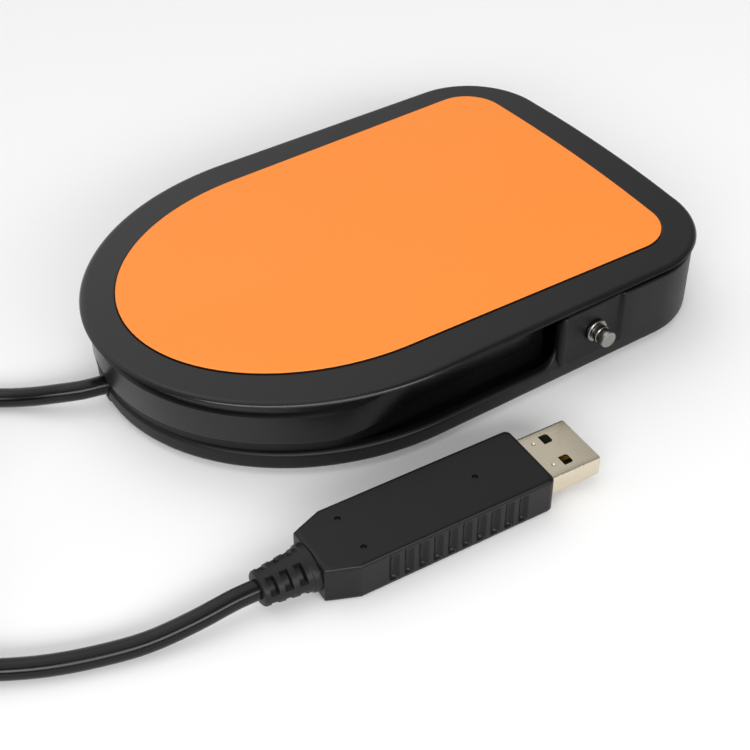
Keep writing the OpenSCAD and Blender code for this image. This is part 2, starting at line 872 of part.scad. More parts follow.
// Two insulated wires from the lead's end, round the spring to the board
module signal_wires() {
    wire_r = wire_d / 2;
    side = [sin(lead_turn), cos(lead_turn), 0];
    land_x = board_mid_x - board_l / 2 + wire_land_in;
    turn_x = (tail_end[0] + spring_x) / 2;
    arch_z = board_top + wire_arch;
    for (k = [0, 1]) {
        start = tail_end - slide_clear * lead_out + (k - 0.5) * wire_pitch * side;
        out_y = spring_d / 2 + 3 * wire_d + k * wire_pitch;
        land_y = board_w / 4 + k * 2 * wire_d;
        path = [start, start - wire_straight * lead_out, [turn_x, (start[1] + out_y) / 2, lead_z],
            [(turn_x + spring_x) / 2, out_y, lead_z], [spring_x, out_y, (lead_z + arch_z) / 2],
            [(spring_x + land_x) / 2, (out_y + land_y) / 2, arch_z], [land_x - wire_drop, land_y, arch_z],
            [land_x - wire_drop / 4, land_y, (2 * arch_z + board_top) / 3],
            [land_x, land_y, board_top + wire_r / 2]];
        color(k == 0 ? "#b3261e" : "#e8e6df")
            tube(path, wire_r, 6);
    }
}

// USB plug

module plug_housing() {
    rings = concat(
        [[0.5, 0], [0, 0.5]],
        round_edge(housing_round, housing_h, true, 3));
    groove_r = 0.7;
    color(black_plastic)
        at_plug()
            difference() {
                loft([for (e = rings) level(housing_outline(e[0]), e[1])]);
                for (s = [-1, 1], k = [0:groove_count - 1])
                    translate([-groove_start - k * groove_pitch, s * (housing_w / 2 + 0.25), 1])
                        cylinder(h = housing_h - 2.2, r = groove_r);
                translate([cavity_front / 2, 0, shell_low - seat_clear])
                    block([-cavity_front + 2 * seat_clear, shell_w + 2 * seat_clear, shell_h + 2 * seat_clear]);
                translate([(cavity_front + cavity_back) / 2, 0, housing_mid_z - cavity_h / 2])
                    block([cavity_l, cavity_w, cavity_h]);
                translate([0, 0, housing_mid_z])
                    rod_x(-housing_l - 1, cavity_back + 1, lead_r + seat_clear);
            }
}

// Tapered sleeve with three flexing grooves
module plug_boot() {
    land = 1.6;
    groove_w = 1.1;
    groove_deep = 0.7;
    start_r = boot_d / 2;
    slope = (boot_d - boot_end_d) / 2 / boot_l;
    function skin(x) = start_r - slope * x;
    grooves = [for (k = [0:2])
        let (x = land + k * (boot_l - 2 * land) / 2.6, low = skin(x) - groove_deep, end = x + groove_w) each
        [[skin(x), x], [low, x], [low, end], [skin(x), end]]];
    bore_r = lead_r + seat_clear;
    color(rubber_black)
        at_plug()
            translate([-housing_l, 0, housing_mid_z])
                rotate([0, -90, 0])
                    rotate_extrude()
                        polygon(concat([[bore_r, 0], [start_r, 0]], grooves,
                            [[skin(boot_l), boot_l], [bore_r, boot_l]]));
}

module plug_cable_end() {
    color(lead_black)
        at_plug()
            translate([0, 0, housing_mid_z])
                rod_x(boot_back, cable_end_front - 3, lead_r);
}

module plug_board() {
    color(board_green)
        at_plug()
            translate([plug_board_front - plug_board_l / 2, 0, housing_mid_z - plug_board_t / 2])
                block([plug_board_l, plug_board_w, plug_board_t]);
}

module plug_chip() {
    color("#1a1a1c")
        at_plug()
            translate([plug_board_front - plug_board_l / 2, 0, plug_board_top])
                block([chip_l, chip_w, chip_t]);
}

module plug_wires() {
    color("#b3261e")
        at_plug()
            for (k = [0:3])
                translate([0, (k - 1.5) * (plug_wire_d + 0.2), plug_board_top + plug_wire_d / 2])
                    rod_x(cable_end_front - 3, cable_end_front + 3, plug_wire_d / 2);
}

module usb_shell() {
    window_x = shell_front - 6.2;
    window_y = 3.15;
    color(steel)
        at_plug()
            difference() {
                translate([(shell_front + shell_back) / 2, 0, shell_low])
                    block([shell_front - shell_back, shell_w, shell_h]);
                translate([(shell_front + shell_back) / 2, 0, shell_low + shell_t])
                    block([2 * (shell_front - shell_back), shell_w - 2 * shell_t, shell_h - 2 * shell_t]);
                for (s = [-1, 1])
                    translate([window_x, s * window_y, 0])
                        block([1.95, 2.3, housing_h]);
            }
}

module usb_tongue() {
    color("#161617")
        at_plug()
            translate([(shell_front + shell_back) / 2, 0, tongue_low])
                block([shell_front - shell_back - 0.8, tongue_w, tongue_t]);
}

module usb_contacts() {
    contact_l = 9;
    color(brass)
        at_plug()
            for (k = [0:3])
                translate([shell_front - 1.4 - contact_l / 2, (k - 1.5) * contact_pitch, tongue_top])
                    block([contact_l, 1.1, contact_t]);
}

// Lead outside the pedal

function coil_layer(t) = floor(t / coil_turns_per_layer);

// Radius runs in and out at a steady rate, and the height climbs in the half turn where it turns back
function coil_radius(t) =
    let (n = coil_turns_per_layer, back = t % (2 * n))
    coil_outer_r - coil_pitch * (back < n ? back : 2 * n - back);
function coil_climb(t) =
    let (n = coil_turns_per_layer, nearest = round(t / n), u = (t - nearest * n) / 0.5 + 0.5)
    nearest == 0 ? 0 : nearest - 1 + (1 - cos(180 * max(0, min(1, u)))) / 2;
function coil_point(k) =
    let (t = k / coil_steps, a = coil_start_angle + 360 * t, r = coil_radius(t))
    [coil_mid[0] + r * cos(a), coil_mid[1] + r * sin(a), coil_low_z + coil_pitch * coil_climb(t)];
coil_turn = [for (k = [0:coil_end_step]) coil_point(k)];
coil_first = coil_turn[0] + [lead_d, 0, 0];
coil_end_angle = coil_start_angle + 360 * coil_end_step / coil_steps;
coil_last = coil_turn[coil_end_step] + lead_d * [-sin(coil_end_angle), cos(coil_end_angle), 0];
coil_path = concat([coil_first], coil_turn, [coil_last]);
coil_count = len(coil_path);
coil_gaps = [for (i = [0:coil_count - 1], j = [i + 12:1:coil_count - 1]) norm(coil_path[i] - coil_path[j])];
coil_least = min(coil_gaps);
echo(coil_least_gap = coil_least - lead_d, coil_ends = [coil_first, coil_last]);

module cord_coil() {
    color(lead_black)
        tube(coil_path, lead_r, 6);
}

module coil_tie() {
    inner_from = coil_outer_r - coil_turns_per_layer * coil_pitch - lead_r - tie_gap;
    inner_to = coil_outer_r + lead_r + tie_gap;
    inner_h = coil_top_z + lead_r + tie_gap - tie_t;
    color("#2a2a2c")
        translate([coil_mid[0], coil_mid[1], 0])
            rotate([0, 0, tie_angle])
                difference() {
                    translate([inner_from - tie_t, -tie_w / 2, 0])
                        cube([inner_to - inner_from + 2 * tie_t, tie_w, inner_h + 2 * tie_t]);
                    translate([inner_from, -tie_w, tie_t])
                        cube([inner_to - inner_from, 2 * tie_w, inner_h]);
                }
}

module cord_at_pedal() {
    start = [lead_face, lead_face + 4 * lead_out];
    end = [coil_first + [4, 0, 0], coil_first];
    color(lead_black)
        tube(concat(start, route_at_pedal, end), lead_r, 8);
}

module cord_at_plug() {
    back = [-cos(plug_turn), -sin(plug_turn), 0];
    boot_end = [-plug_back, -plug_side, housing_mid_z] - boot_back * back;
    start = [boot_end, boot_end + 4 * back];
    end = [2 * coil_last - coil_turn[coil_end_step], coil_last];
    color(lead_black)
        tube(concat(start, route_at_plug, end), lead_r, 8);
}

pedal_cover();
foot_pad();
base_tray();
rubber_feet();
hinge_pin();
pin_clips();
return_spring();
stop_bumpers();
circuit_board();
board_screws();
switch_body();
switch_plunger();
switch_terminals();
cable_bush();
cable_tail();
cable_clamp();
clamp_screws();
signal_wires();
plug_housing();
plug_boot();
plug_cable_end();
plug_board();
plug_chip();
plug_wires();
usb_shell();
usb_tongue();
usb_contacts();
cord_at_pedal();
cord_coil();
coil_tie();
cord_at_plug();
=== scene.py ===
"""Dresses the foot pedal switch: camera, plug, lead, cover, tray, hinge, floor and light."""
import logging
import math
from dataclasses import dataclass
from enum import Enum
from typing import Callable, Sequence

import bmesh
import bpy
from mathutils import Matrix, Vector


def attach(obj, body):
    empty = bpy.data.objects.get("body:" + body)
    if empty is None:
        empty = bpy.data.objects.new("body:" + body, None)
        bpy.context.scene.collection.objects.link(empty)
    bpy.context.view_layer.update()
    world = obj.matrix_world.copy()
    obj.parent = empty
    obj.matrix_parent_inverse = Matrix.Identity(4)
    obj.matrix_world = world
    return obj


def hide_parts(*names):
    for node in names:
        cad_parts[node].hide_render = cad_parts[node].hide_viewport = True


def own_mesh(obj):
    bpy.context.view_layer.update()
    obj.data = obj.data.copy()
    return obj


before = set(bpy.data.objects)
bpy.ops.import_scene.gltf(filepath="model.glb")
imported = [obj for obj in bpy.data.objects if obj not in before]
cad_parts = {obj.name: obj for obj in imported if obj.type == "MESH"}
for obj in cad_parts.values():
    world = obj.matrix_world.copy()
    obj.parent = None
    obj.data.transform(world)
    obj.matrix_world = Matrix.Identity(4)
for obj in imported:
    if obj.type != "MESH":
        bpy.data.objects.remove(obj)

LOG = logging.getLogger("pedal")
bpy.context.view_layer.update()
MM = 0.001
# Radius, in millimetres, at which a turned profile meets its axis.
AXIS = 0.01
# Smallest step between two rings, in millimetres, that keeps a corner crisp.
HAIR = 0.02
# Edges that turn by more than this stay crisp, unless a piece says otherwise.
CRISP_DEG = 32.0

Piece = bpy.types.Object
Tree = bpy.types.NodeTree
Node = bpy.types.Node
Point = tuple[float, float, float]
Flat = tuple[float, float]
Face = tuple[int, ...]
Shell = tuple[list[Point], list[Face]]


def linear(code: str) -> tuple[float, float, float, float]:
    """Turns an sRGB hex colour into linear RGBA.

    Args:
        code: colour such as "#1e1e1f".

    Returns:
        Linear red, green, blue and an alpha of one.
    """
    parts = [int(code[k:k + 2], 16) / 255 for k in (1, 3, 5)]
    low = [c / 12.92 if c <= 0.04045 else ((c + 0.055) / 1.055) ** 2.4 for c in parts]
    return low[0], low[1], low[2], 1.0


def clamp(value: float) -> float:
    """Keeps a value between nought and one."""
    return max(0.0, min(1.0, value))


def circle(steps: int) -> list[float]:
    """Angles of a full turn in equal steps."""
    return [2 * math.pi * k / steps for k in range(steps)]


def tune(node: Node, settings: dict) -> None:
    """Sets a node's inputs and attributes.

    Args:
        node: the node.
        settings: input name, input number or attribute, and its value.
    """
    for key, value in settings.items():
        if isinstance(key, int) or key in node.inputs:
            node.inputs[key].default_value = value
        else:
            setattr(node, key, value)


def add_node(tree: Tree, kind: str, settings: dict | None = None, links: dict | None = None) -> Node:
    """Adds a node with its settings and links.

    Args:
        tree: node tree that gets the node.
        kind: Blender's name of the node type.
        settings: input name, input number or attribute, and its value.
        links: input name or number, and the node and output that feed it.

    Returns:
        The new node.
    """
    node = tree.nodes.new(kind)
    tune(node, settings or {})
    for key, (source, output) in (links or {}).items():
        tree.links.new(source.outputs[output], node.inputs[key])
    return node


class Pattern(Enum):
    """What a surface's making leaves on it."""

    GRAIN = "fine random grain of a moulding"
    TURNED = "rings left by turning, across Y"
    DRAWN = "lines left by rolling or drawing, along X"
    WOVEN = "threads over and under each other"
    TRACKS = "straight copper tracks under a lacquer"


# How a random grain is stretched into lines.
STRETCH: dict[Pattern, Point] = {Pattern.TURNED: (1.0, 14.0, 1.0), Pattern.DRAWN: (0.05, 3.0, 3.0)}


@dataclass(frozen=True)
class Finish:
    """A material: what it is, its colours, its gloss and the pattern that its making leaves."""

    name: str
    color: str
    fleck: str
    roughness: float
    grain_mm: float
    relief_mm: float
    pattern: Pattern = Pattern.GRAIN
    metallic: float = 0.0
    ior: float = 1.5
    coat: float = 0.0
    sheen: float = 0.0
    specular: float = 0.5
    rough_swing: float = 0.06
    # Painted shade: colour given to a sheet's side below a height in millimetres, standing in for the shade there.
    painted_side_shade: str = ""
    painted_shade_mm: float = 0.0

    def height(self, tree: Tree, coords: Node) -> tuple[Node, str]:
        """Adds the nodes of the pattern's height.

        Args:
            tree: the material's tree.
            coords: texture coordinate node.

        Returns:
            The node and the name of its output.
        """
        per_metre = 1.0 / (self.grain_mm * MM)
        on_piece = {"Vector": (coords, "Object")}
        if self.pattern in STRETCH:
            place = add_node(tree, "ShaderNodeMapping", {"Scale": STRETCH[self.pattern]}, on_piece)
            lines = {"Scale": per_metre / 3, "Detail": 4.0}
            return add_node(tree, "ShaderNodeTexNoise", lines, {"Vector": (place, "Vector")}), "Fac"
        # A wave texture at a scale of one repeats every pi / 10 metres.
        wave = {"Scale": per_metre * math.pi / 10}
        if self.pattern is Pattern.WOVEN:
            wave["Distortion"] = 0.6
            ways = [{"bands_direction": way, **wave} for way in ("DIAGONAL", "Z")]
            sides = [add_node(tree, "ShaderNodeTexWave", way, on_piece) for way in ways]
            upper = {k: (side, "Fac") for k, side in enumerate(sides)}
            return add_node(tree, "ShaderNodeMath", {"operation": "MAXIMUM"}, upper), "Value"
        if self.pattern is Pattern.TRACKS:
            straight = {"bands_direction": "Y", "wave_profile": "TRI", "Distortion": 0.0, **wave}
            bands = add_node(tree, "ShaderNodeTexWave", straight, on_piece)
            cut = {"operation": "GREATER_THAN", 1: 0.6}
            return add_node(tree, "ShaderNodeMath", cut, {0: (bands, "Fac")}), "Value"
        return add_node(tree, "ShaderNodeTexNoise", {"Scale": per_metre, "Detail": 3.0}, on_piece), "Fac"

    def build(self) -> bpy.types.Material:
        """Makes the material, or finds it if it is made already.

        Returns:
            The material.
        """
        known = bpy.data.materials.get(self.name)
        if known:
            return known
        material = bpy.data.materials.new(self.name)
        material.use_nodes = True
        material.diffuse_color = linear(self.color)
        tree = material.node_tree
        shader = tree.nodes["Principled BSDF"]
        tune(shader, {
            "Metallic": self.metallic, "Coat Weight": self.coat, "Sheen Weight": self.sheen,
            "Specular IOR Level": self.specular,
        })
        if not self.metallic:
            tune(shader, {"IOR": self.ior})
        coords = add_node(tree, "ShaderNodeTexCoord")
        on_piece = {"Vector": (coords, "Object")}
        source = self.height(tree, coords)
        colors = {"data_type": "RGBA", 6: linear(self.color), 7: linear(self.fleck)}
        tint = add_node(tree, "ShaderNodeMix", colors, {0: source})
        if self.painted_side_shade:
            # Painted shade: below this height the sheet's side takes a dark brown colour that stands in for the shade
            # on its cut edge.
            axes = add_node(tree, "ShaderNodeSeparateXYZ", None, on_piece)
            limit = {"operation": "GREATER_THAN", 1: self.painted_shade_mm * MM}
            above = add_node(tree, "ShaderNodeMath", limit, {0: (axes, "Z")})
            colors = {"data_type": "RGBA", 6: linear(self.painted_side_shade)}
            tint = add_node(tree, "ShaderNodeMix", colors, {0: (above, "Value"), 7: (tint, 2)})
        # Handling leaves soft patches a few centimetres across, a little more or less glossy.
        patches = add_node(tree, "ShaderNodeTexNoise", {"Scale": 45.0, "Detail": 2.0}, on_piece)
        swing = {"From Min": 0.3, "From Max": 0.7}
        swing |= {"To Min": self.roughness - self.rough_swing, "To Max": self.roughness + self.rough_swing}
        gloss = add_node(tree, "ShaderNodeMapRange", swing, {"Value": (patches, "Fac")})
        depth = {"Strength": 1.0, "Distance": self.relief_mm * MM}
        relief = add_node(tree, "ShaderNodeBump", depth, {"Height": source})
        tree.links.new(tint.outputs[2], shader.inputs["Base Color"])
        tree.links.new(gloss.outputs["Result"], shader.inputs["Roughness"])
        tree.links.new(relief.outputs["Normal"], shader.inputs["Normal"])
        return material


# Black ABS, injection moulded in a spark-eroded tool: near-black colour under an even satin reflection.
# The real grain is about 0.1 mm; it is drawn at 0.3 mm so that it shows at all.
MOULDED_ABS = Finish("moulded_black_abs", "#080809", "#0e0e0f", 0.25, 0.3, 0.003, ior=1.52, specular=0.38)
# The tray is the same plastic from a duller tool.
TRAY_ABS = Finish("dull_black_abs", "#070708", "#0d0d0e", 0.42, 0.3, 0.004, ior=1.52, specular=0.26)
# The same plastic on the plug's case, with a coarser grain and less gloss.
PLUG_ABS = Finish("grained_plug_abs", "#08080a", "#111112", 0.34, 0.35, 0.008, ior=1.52, specular=0.28)
# Orange calendered PVC sheet: even, saturated colour and a soft sheen, with hardly any grain; its side below 18.7 mm
# is painted dark brown as painted shade.
PAD_SHEET = Finish(
    "calendered_orange_sheet", "#fd8f30", "#fb8c2d", 0.5, 0.8, 0.002, specular=0.4, rough_swing=0.04,
    painted_side_shade="#1c0f08", painted_shade_mm=18.7,
)
# Black moulded rubber: dull, with a faint bloom.
MOULDED_RUBBER = Finish("moulded_black_rubber", "#101010", "#1a1a19", 0.7, 0.4, 0.01, ior=1.52)
# Mild steel, turned: bright, with fine rings round the pin.
TURNED_STEEL = Finish("turned_bright_steel", "#a3a19d", "#8b8984", 0.26, 0.5, 0.004, Pattern.TURNED, 1.0)
# Hard-drawn spring wire: grey steel with drawing marks.
SPRING_WIRE = Finish("drawn_spring_wire", "#a9a7a2", "#8f8d88", 0.32, 0.4, 0.003, Pattern.DRAWN, 1.0)
# Zinc-plated screws: bright with a slightly blue passivation.
ZINC_SCREW = Finish("zinc_plated_screw", "#c3c7cb", "#aab0b5", 0.3, 0.3, 0.003, metallic=1.0)
# Green solder mask over copper tracks on glass laminate.
SOLDER_MASK = Finish("green_solder_mask", "#14502c", "#1f6a3c", 0.35, 1.2, 0.03, Pattern.TRACKS, ior=1.52, coat=0.3)
# Glass-filled PBT of the switch and the clamp: black with pale specks.
SWITCH_PBT = Finish("glass_filled_pbt", "#141416", "#232326", 0.48, 0.25, 0.006, ior=1.57)
# Acetal of the plunger: ivory, slick and slightly waxy.
ACETAL = Finish("ivory_acetal", "#d9d3c4", "#cfc9b9", 0.36, 0.5, 0.002, ior=1.48)
# Gold flash over nickel on the contacts: warm and bright.
GOLD_FLASH = Finish("gold_flashed_contact", "#d9b45c", "#caa24a", 0.24, 0.4, 0.002, Pattern.DRAWN, 1.0)
# Extruded PVC jacket of the lead: smooth, black and fairly glossy.
PVC_JACKET = Finish("extruded_black_pvc", "#070708", "#0c0c0d", 0.2, 0.5, 0.002, ior=1.53, specular=0.28)
# Soft PVC overmoulding of the strain relief: a little duller than the jacket.
SOFT_PVC = Finish("overmoulded_soft_pvc", "#0b0b0c", "#131314", 0.42, 0.35, 0.006, ior=1.53, specular=0.3)
# Coloured PVC insulation of the thin wires: smooth and half glossy.
WIRE_PVC = Finish("red_wire_pvc", "#b3261e", "#a5211a", 0.38, 0.4, 0.002, ior=1.53)
# Nickel plate on pressed steel: bright and slightly warm, with rolling lines along the shell.
NICKEL_PLATE = Finish("nickel_plated_shell", "#e4d9c3", "#d9ceb8", 0.25, 0.6, 0.002, Pattern.DRAWN, 1.0)
# Woven nylon hook-and-loop strap: dull, with threads that show.
STRAP_NYLON = Finish("woven_nylon_strap", "#141415", "#262628", 0.8, 0.9, 0.12, Pattern.WOVEN, sheen=0.3)

# CAD nodes that keep their own shape, by what they are made of.
KEPT_NODES: dict[Finish, tuple[str, ...]] = {
    MOULDED_RUBBER: ("stop_bumpers", "cable_bush"),
    SOLDER_MASK: ("circuit_board", "plug_board"),
    ZINC_SCREW: ("board_screws", "clamp_screws"),
    SWITCH_PBT: ("switch_body", "cable_clamp", "plug_chip", "usb_tongue"),
    ACETAL: ("switch_plunger",),
    GOLD_FLASH: ("switch_terminals", "usb_contacts"),
    PVC_JACKET: ("cable_tail", "plug_cable_end"),
    WIRE_PVC: ("signal_wires", "plug_wires"),
}


def loft(rings: Sequence[Sequence[Point]], capped: bool = True) -> Shell:
    """Joins rings of equal length with quads.

    Args:
        rings: the rings, in order.
        capped: whether the first and the last ring are filled.

    Returns:
        Points and faces.
    """
    size = len(rings[0])
    last = (len(rings) - 1) * size
    faces: list[Face] = []
    for start in range(0, last, size):
        for k in range(size):
            n = (k + 1) % size
            faces.append((start + k, start + n, start + size + n, start + size + k))
    if capped:
        faces += [tuple(range(size))[::-1], tuple(range(last, last + size))]
    return [p for ring in rings for p in ring], faces


def hoop(rings: Sequence[Sequence[Point]]) -> Shell:
    """Joins rings with quads, and the last ring with the first."""
    return loft([*rings, rings[0]], False)


def revolve(profile: Sequence[Flat], steps: int, place: Callable[[float, float, float], Point]) -> Shell:
    """Turns a profile of radius and height into a closed shell.

    Args:
        profile: radius and distance along the axis; the ends lie near the axis.
        steps: number of steps round the axis.
        place: puts the two cross values and the distance along the axis into the object's frame.

    Returns:
        Points and faces.
    """
    turn = circle(steps)
    return loft([[place(r * math.cos(a), r * math.sin(a), along) for a in turn] for r, along in profile])


def bar(low: Point, high: Point, edge: float = 0.2) -> Shell:
    """Box with its upright edges and its top chamfered.

    Args:
        low: lowest corner.
        high: highest corner.
        edge: size of the chamfer.

    Returns:
        Points and faces.
    """
    rings = []
    for inset, z in ((0.0, low[2]), (0.0, high[2] - edge), (edge, high[2])):
        x0, y0, x1, y1 = low[0] + inset, low[1] + inset, high[0] - inset, high[1] - inset
        flat = [(x0 + edge, y0), (x1 - edge, y0), (x1, y0 + edge), (x1, y1 - edge)]
        flat += [(x1 - edge, y1), (x0 + edge, y1), (x0, y1 - edge), (x0, y0 + edge)]
        rings.append([(x, y, z) for x, y in flat])
    return loft(rings)


def quarter(inset: float, z: float, radius: float, steps: int, upper: bool) -> list[Flat]:
    """Inset and height along a quarter-round edge.

    Args:
        inset: inset of the wall below or above the edge.
        z: height of the flat face.
        radius: size of the edge.
        steps: number of steps.
        upper: whether the edge is at the top of the wall.

    Returns:
        Pairs of inset and height, from the wall to the flat face at the top and the other way at the bottom.
    """
    arc = [math.pi / 2 * k / steps for k in range(steps + 1)]
    if upper:
        return [(inset + radius * (1 - math.cos(a)), z - radius * (1 - math.sin(a))) for a in arc]
    return [(inset + radius * (1 - math.sin(a)), z + radius * (1 - math.cos(a))) for a in arc]


def rounded(box: tuple[float, float, float, float], inset: float, radius: float, steps: int) -> list[Flat]:
    """Loop with four round corners.

    Args:
        box: left, right, low and high side.
        inset: distance of the corners' middles from those sides.
        radius: radius of the corners.
        steps: number of steps round each corner.

    Returns:
        Pairs of place across and height.
    """
    left, right, low, high = box[0] + inset, box[1] - inset, box[2] + inset, box[3] - inset
    loop = []
    for corner, (x, z) in enumerate(((right, high), (left, high), (left, low), (right, low))):
        for k in range(steps + 1):
            a = math.radians(90 * corner + 90 * k / steps)
            loop.append((x + radius * math.cos(a), z + radius * math.sin(a)))
    return loop


def make_piece(name: str, shells: Sequence[Shell], finish: Finish, sharp_deg: float = CRISP_DEG) -> Piece:
    """Makes one object at the origin from shells that are given in millimetres.

    Args:
        name: the piece's name.
        shells: closed shells.
        finish: what it is made of.
        sharp_deg: edges that turn by more than this stay crisp.

    Returns:
        The object, linked to the scene.
    """
    points: list[Point] = []
    faces: list[Face] = []
    for shell_points, shell_faces in shells:
        start = len(points)
        points += [(x * MM, y * MM, z * MM) for x, y, z in shell_points]
        faces += [tuple(start + k for k in face) for face in shell_faces]
    mesh = bpy.data.meshes.new(name)
    mesh.from_pydata(points, [], faces)
    return finish_mesh(name, mesh, finish, sharp_deg)


def finish_mesh(name: str, mesh: bpy.types.Mesh, finish: Finish, sharp_deg: float) -> Piece:
    """Cleans a mesh, dresses it and links an object for it.

    Args:
        name: the piece's name.
        mesh: the mesh, in metres.
        finish: what it is made of.
        sharp_deg: edges that turn by more than this stay crisp.

    Returns:
        The object.
    """
    work = bmesh.new()
    work.from_mesh(mesh)
    bmesh.ops.remove_doubles(work, verts=work.verts, dist=1e-7)
    bmesh.ops.dissolve_degenerate(work, edges=work.edges, dist=1e-7)
    bmesh.ops.recalc_face_normals(work, faces=work.faces)
    work.to_mesh(mesh)
    work.free()
    mesh.materials.clear()
    mesh.materials.append(finish.build())
    mesh.shade_smooth()
    mesh.set_sharp_from_angle(angle=math.radians(sharp_deg))
    return link(name, mesh)


def link(name: str, data: bpy.types.ID) -> Piece:
    """Links an object for a mesh, curve, camera or light.

    Args:
        name: the object's name.
        data: what it shows.

    Returns:
        The object.
    """
    thing = bpy.data.objects.new(name, data)
    bpy.context.scene.collection.objects.link(thing)
    return thing


def settle(piece: Piece, name: str, finish: Finish, sharp_deg: float = CRISP_DEG) -> Piece:
    """Turns an object with modifiers into a plain mesh object and removes the old one.

    Args:
        piece: object with its modifiers set.
        name: name of the plain object.
        finish: what it is made of.
        sharp_deg: edges that turn by more than this stay crisp.

    Returns:
        The plain object.
    """
    bpy.context.view_layer.update()
    graph = bpy.context.evaluated_depsgraph_get()
    mesh = bpy.data.meshes.new_from_object(piece.evaluated_get(graph))
    old = piece.data
    bpy.data.objects.remove(piece)
    if old.users == 0:
        bpy.data.meshes.remove(old)
    mesh.name = name
    return finish_mesh(name, mesh, finish, sharp_deg)


def cut_away(piece: Piece, cutters: Sequence[Shell], finish: Finish) -> Piece:
    """Cuts shells out of a piece one after the other.

    Args:
        piece: the piece to cut.
        cutters: closed shells, in millimetres.
        finish: what the piece is made of.

    Returns:
        The cut piece, as a plain mesh.
    """
    name = piece.name
    tools = [make_piece(f"{name}_cutter_{k}", [shell], finish) for k, shell in enumerate(cutters)]
    for tool in tools:
        cut = piece.modifiers.new(tool.name, "BOOLEAN")
        cut.operation = "DIFFERENCE"
        cut.solver = "EXACT"
        cut.object = tool
    piece.name = f"{name}_uncut"
    done = settle(piece, name, finish)
    for tool in tools:
        bpy.data.meshes.remove(tool.data)
    return done


def node_group(name: str, sizes: dict[str, str]) -> tuple[Tree, Node]:
    """Starts a Geometry Nodes tree with a geometry input, named inputs and a geometry output.

    Args:
        name: the tree's name.
        sizes: input name and Blender's socket type, besides the finish.

    Returns:
        The tree and its input node.
    """
    tree = bpy.data.node_groups.new(name, "GeometryNodeTree")
    inputs = {"Geometry": "NodeSocketGeometry", **sizes, "Finish": "NodeSocketMaterial"}
    for key, kind in inputs.items():
        tree.interface.new_socket(key, in_out="INPUT", socket_type=kind)
    tree.interface.new_socket("Geometry", in_out="OUTPUT", socket_type="NodeSocketGeometry")
    return tree, add_node(tree, "NodeGroupInput")


def close_group(tree: Tree, start: Node, made: tuple[Node, str]) -> Tree:
    """Ends a tree: makes instances real and sets the material.

    Args:
        tree: the tree.
        start: its input node.
        made: node and output that hold what it made.

    Returns:
        The same tree.
    """
    real = add_node(tree, "GeometryNodeRealizeInstances", None, {"Geometry": made})
    links = {"Geometry": (real, "Geometry"), "Material": (start, "Finish")}
    dress = add_node(tree, "GeometryNodeSetMaterial", None, links)
    add_node(tree, "NodeGroupOutput", None, {0: (dress, "Geometry")})
    return tree


def copies_tree() -> Tree:
    """Makes a tree that sets one item on each point of the carrier.

    Returns:
        The tree.
    """
    tree, start = node_group("copies_on_points", {"Item": "NodeSocketObject"})
    item = add_node(tree, "GeometryNodeObjectInfo", None, {"Object": (start, "Item")})
    links = {"Points": (start, "Geometry"), "Instance": (item, "Geometry")}
    return close_group(tree, start, (add_node(tree, "GeometryNodeInstanceOnPoints", None, links), "Instances"))


def wire_tree() -> Tree:
    """Makes a tree that runs round wire along the carrier's lines.

    Returns:
        The tree.
    """
    tree, start = node_group("wire_along_lines", {"Wire Radius": "NodeSocketFloat", "Sides": "NodeSocketInt"})
    line = add_node(tree, "GeometryNodeMeshToCurve", None, {"Mesh": (start, "Geometry")})
    links = {"Radius": (start, "Wire Radius"), "Resolution": (start, "Sides")}
    ring = add_node(tree, "GeometryNodeCurvePrimitiveCircle", {"mode": "RADIUS"}, links)
    links = {"Curve": (line, "Curve"), "Profile Curve": (ring, "Curve")}
    return close_group(tree, start, (add_node(tree, "GeometryNodeCurveToMesh", {"Fill Caps": True}, links), "Mesh"))


def grow(
    name: str, points: Sequence[Point], edges: Sequence[tuple[int, int]], tree: Tree, values: dict[str, object],
    finish: Finish,
) -> Piece:
    """Runs a Geometry Nodes tree on points and returns a plain piece.

    Args:
        name: the piece's name.
        points: points in millimetres.
        edges: pairs of point numbers that form lines.
        tree: the tree.
        values: input name and value besides the finish, with sizes in metres.
        finish: what the piece is made of.

    Returns:
        The plain piece.
    """
    mesh = bpy.data.meshes.new(f"{name}_points")
    mesh.from_pydata([(x * MM, y * MM, z * MM) for x, y, z in points], list(edges), [])
    carrier = link(f"{name}_points", mesh)
    modifier = carrier.modifiers.new(name, "NODES")
    modifier.node_group = tree
    values = {**values, "Finish": finish.build()}
    for socket in tree.interface.items_tree:
        if socket.in_out == "INPUT" and socket.name in values:
            modifier[socket.identifier] = values[socket.name]
    return settle(carrier, name, finish, sharp_deg=40.0)


def seat(piece: Piece, body: str, slot: str, *nodes: str) -> Piece:
    """Makes a piece ride on a body and stand for CAD nodes.

    Args:
        piece: the finished piece.
        body: CAD body that it moves with.
        slot: not used.
        nodes: CAD nodes that it stands for.

    Returns:
        The same piece.
    """
    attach(piece, body)
    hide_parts(*nodes)
    LOG.info("%s rides on %s", piece.name, body)
    return piece


class Zone(Enum):
    """Stretch of an outline."""

    TOE = "round toe"
    SIDE = "straight side"
    CORNER = "heel corner"
    BOW = "bowed heel edge"


@dataclass(frozen=True)
class Station:
    """One place on an outline: its stretch, its value along it and its side (-1 near, 1 far)."""

    zone: Zone
    value: float
    side: int = 0


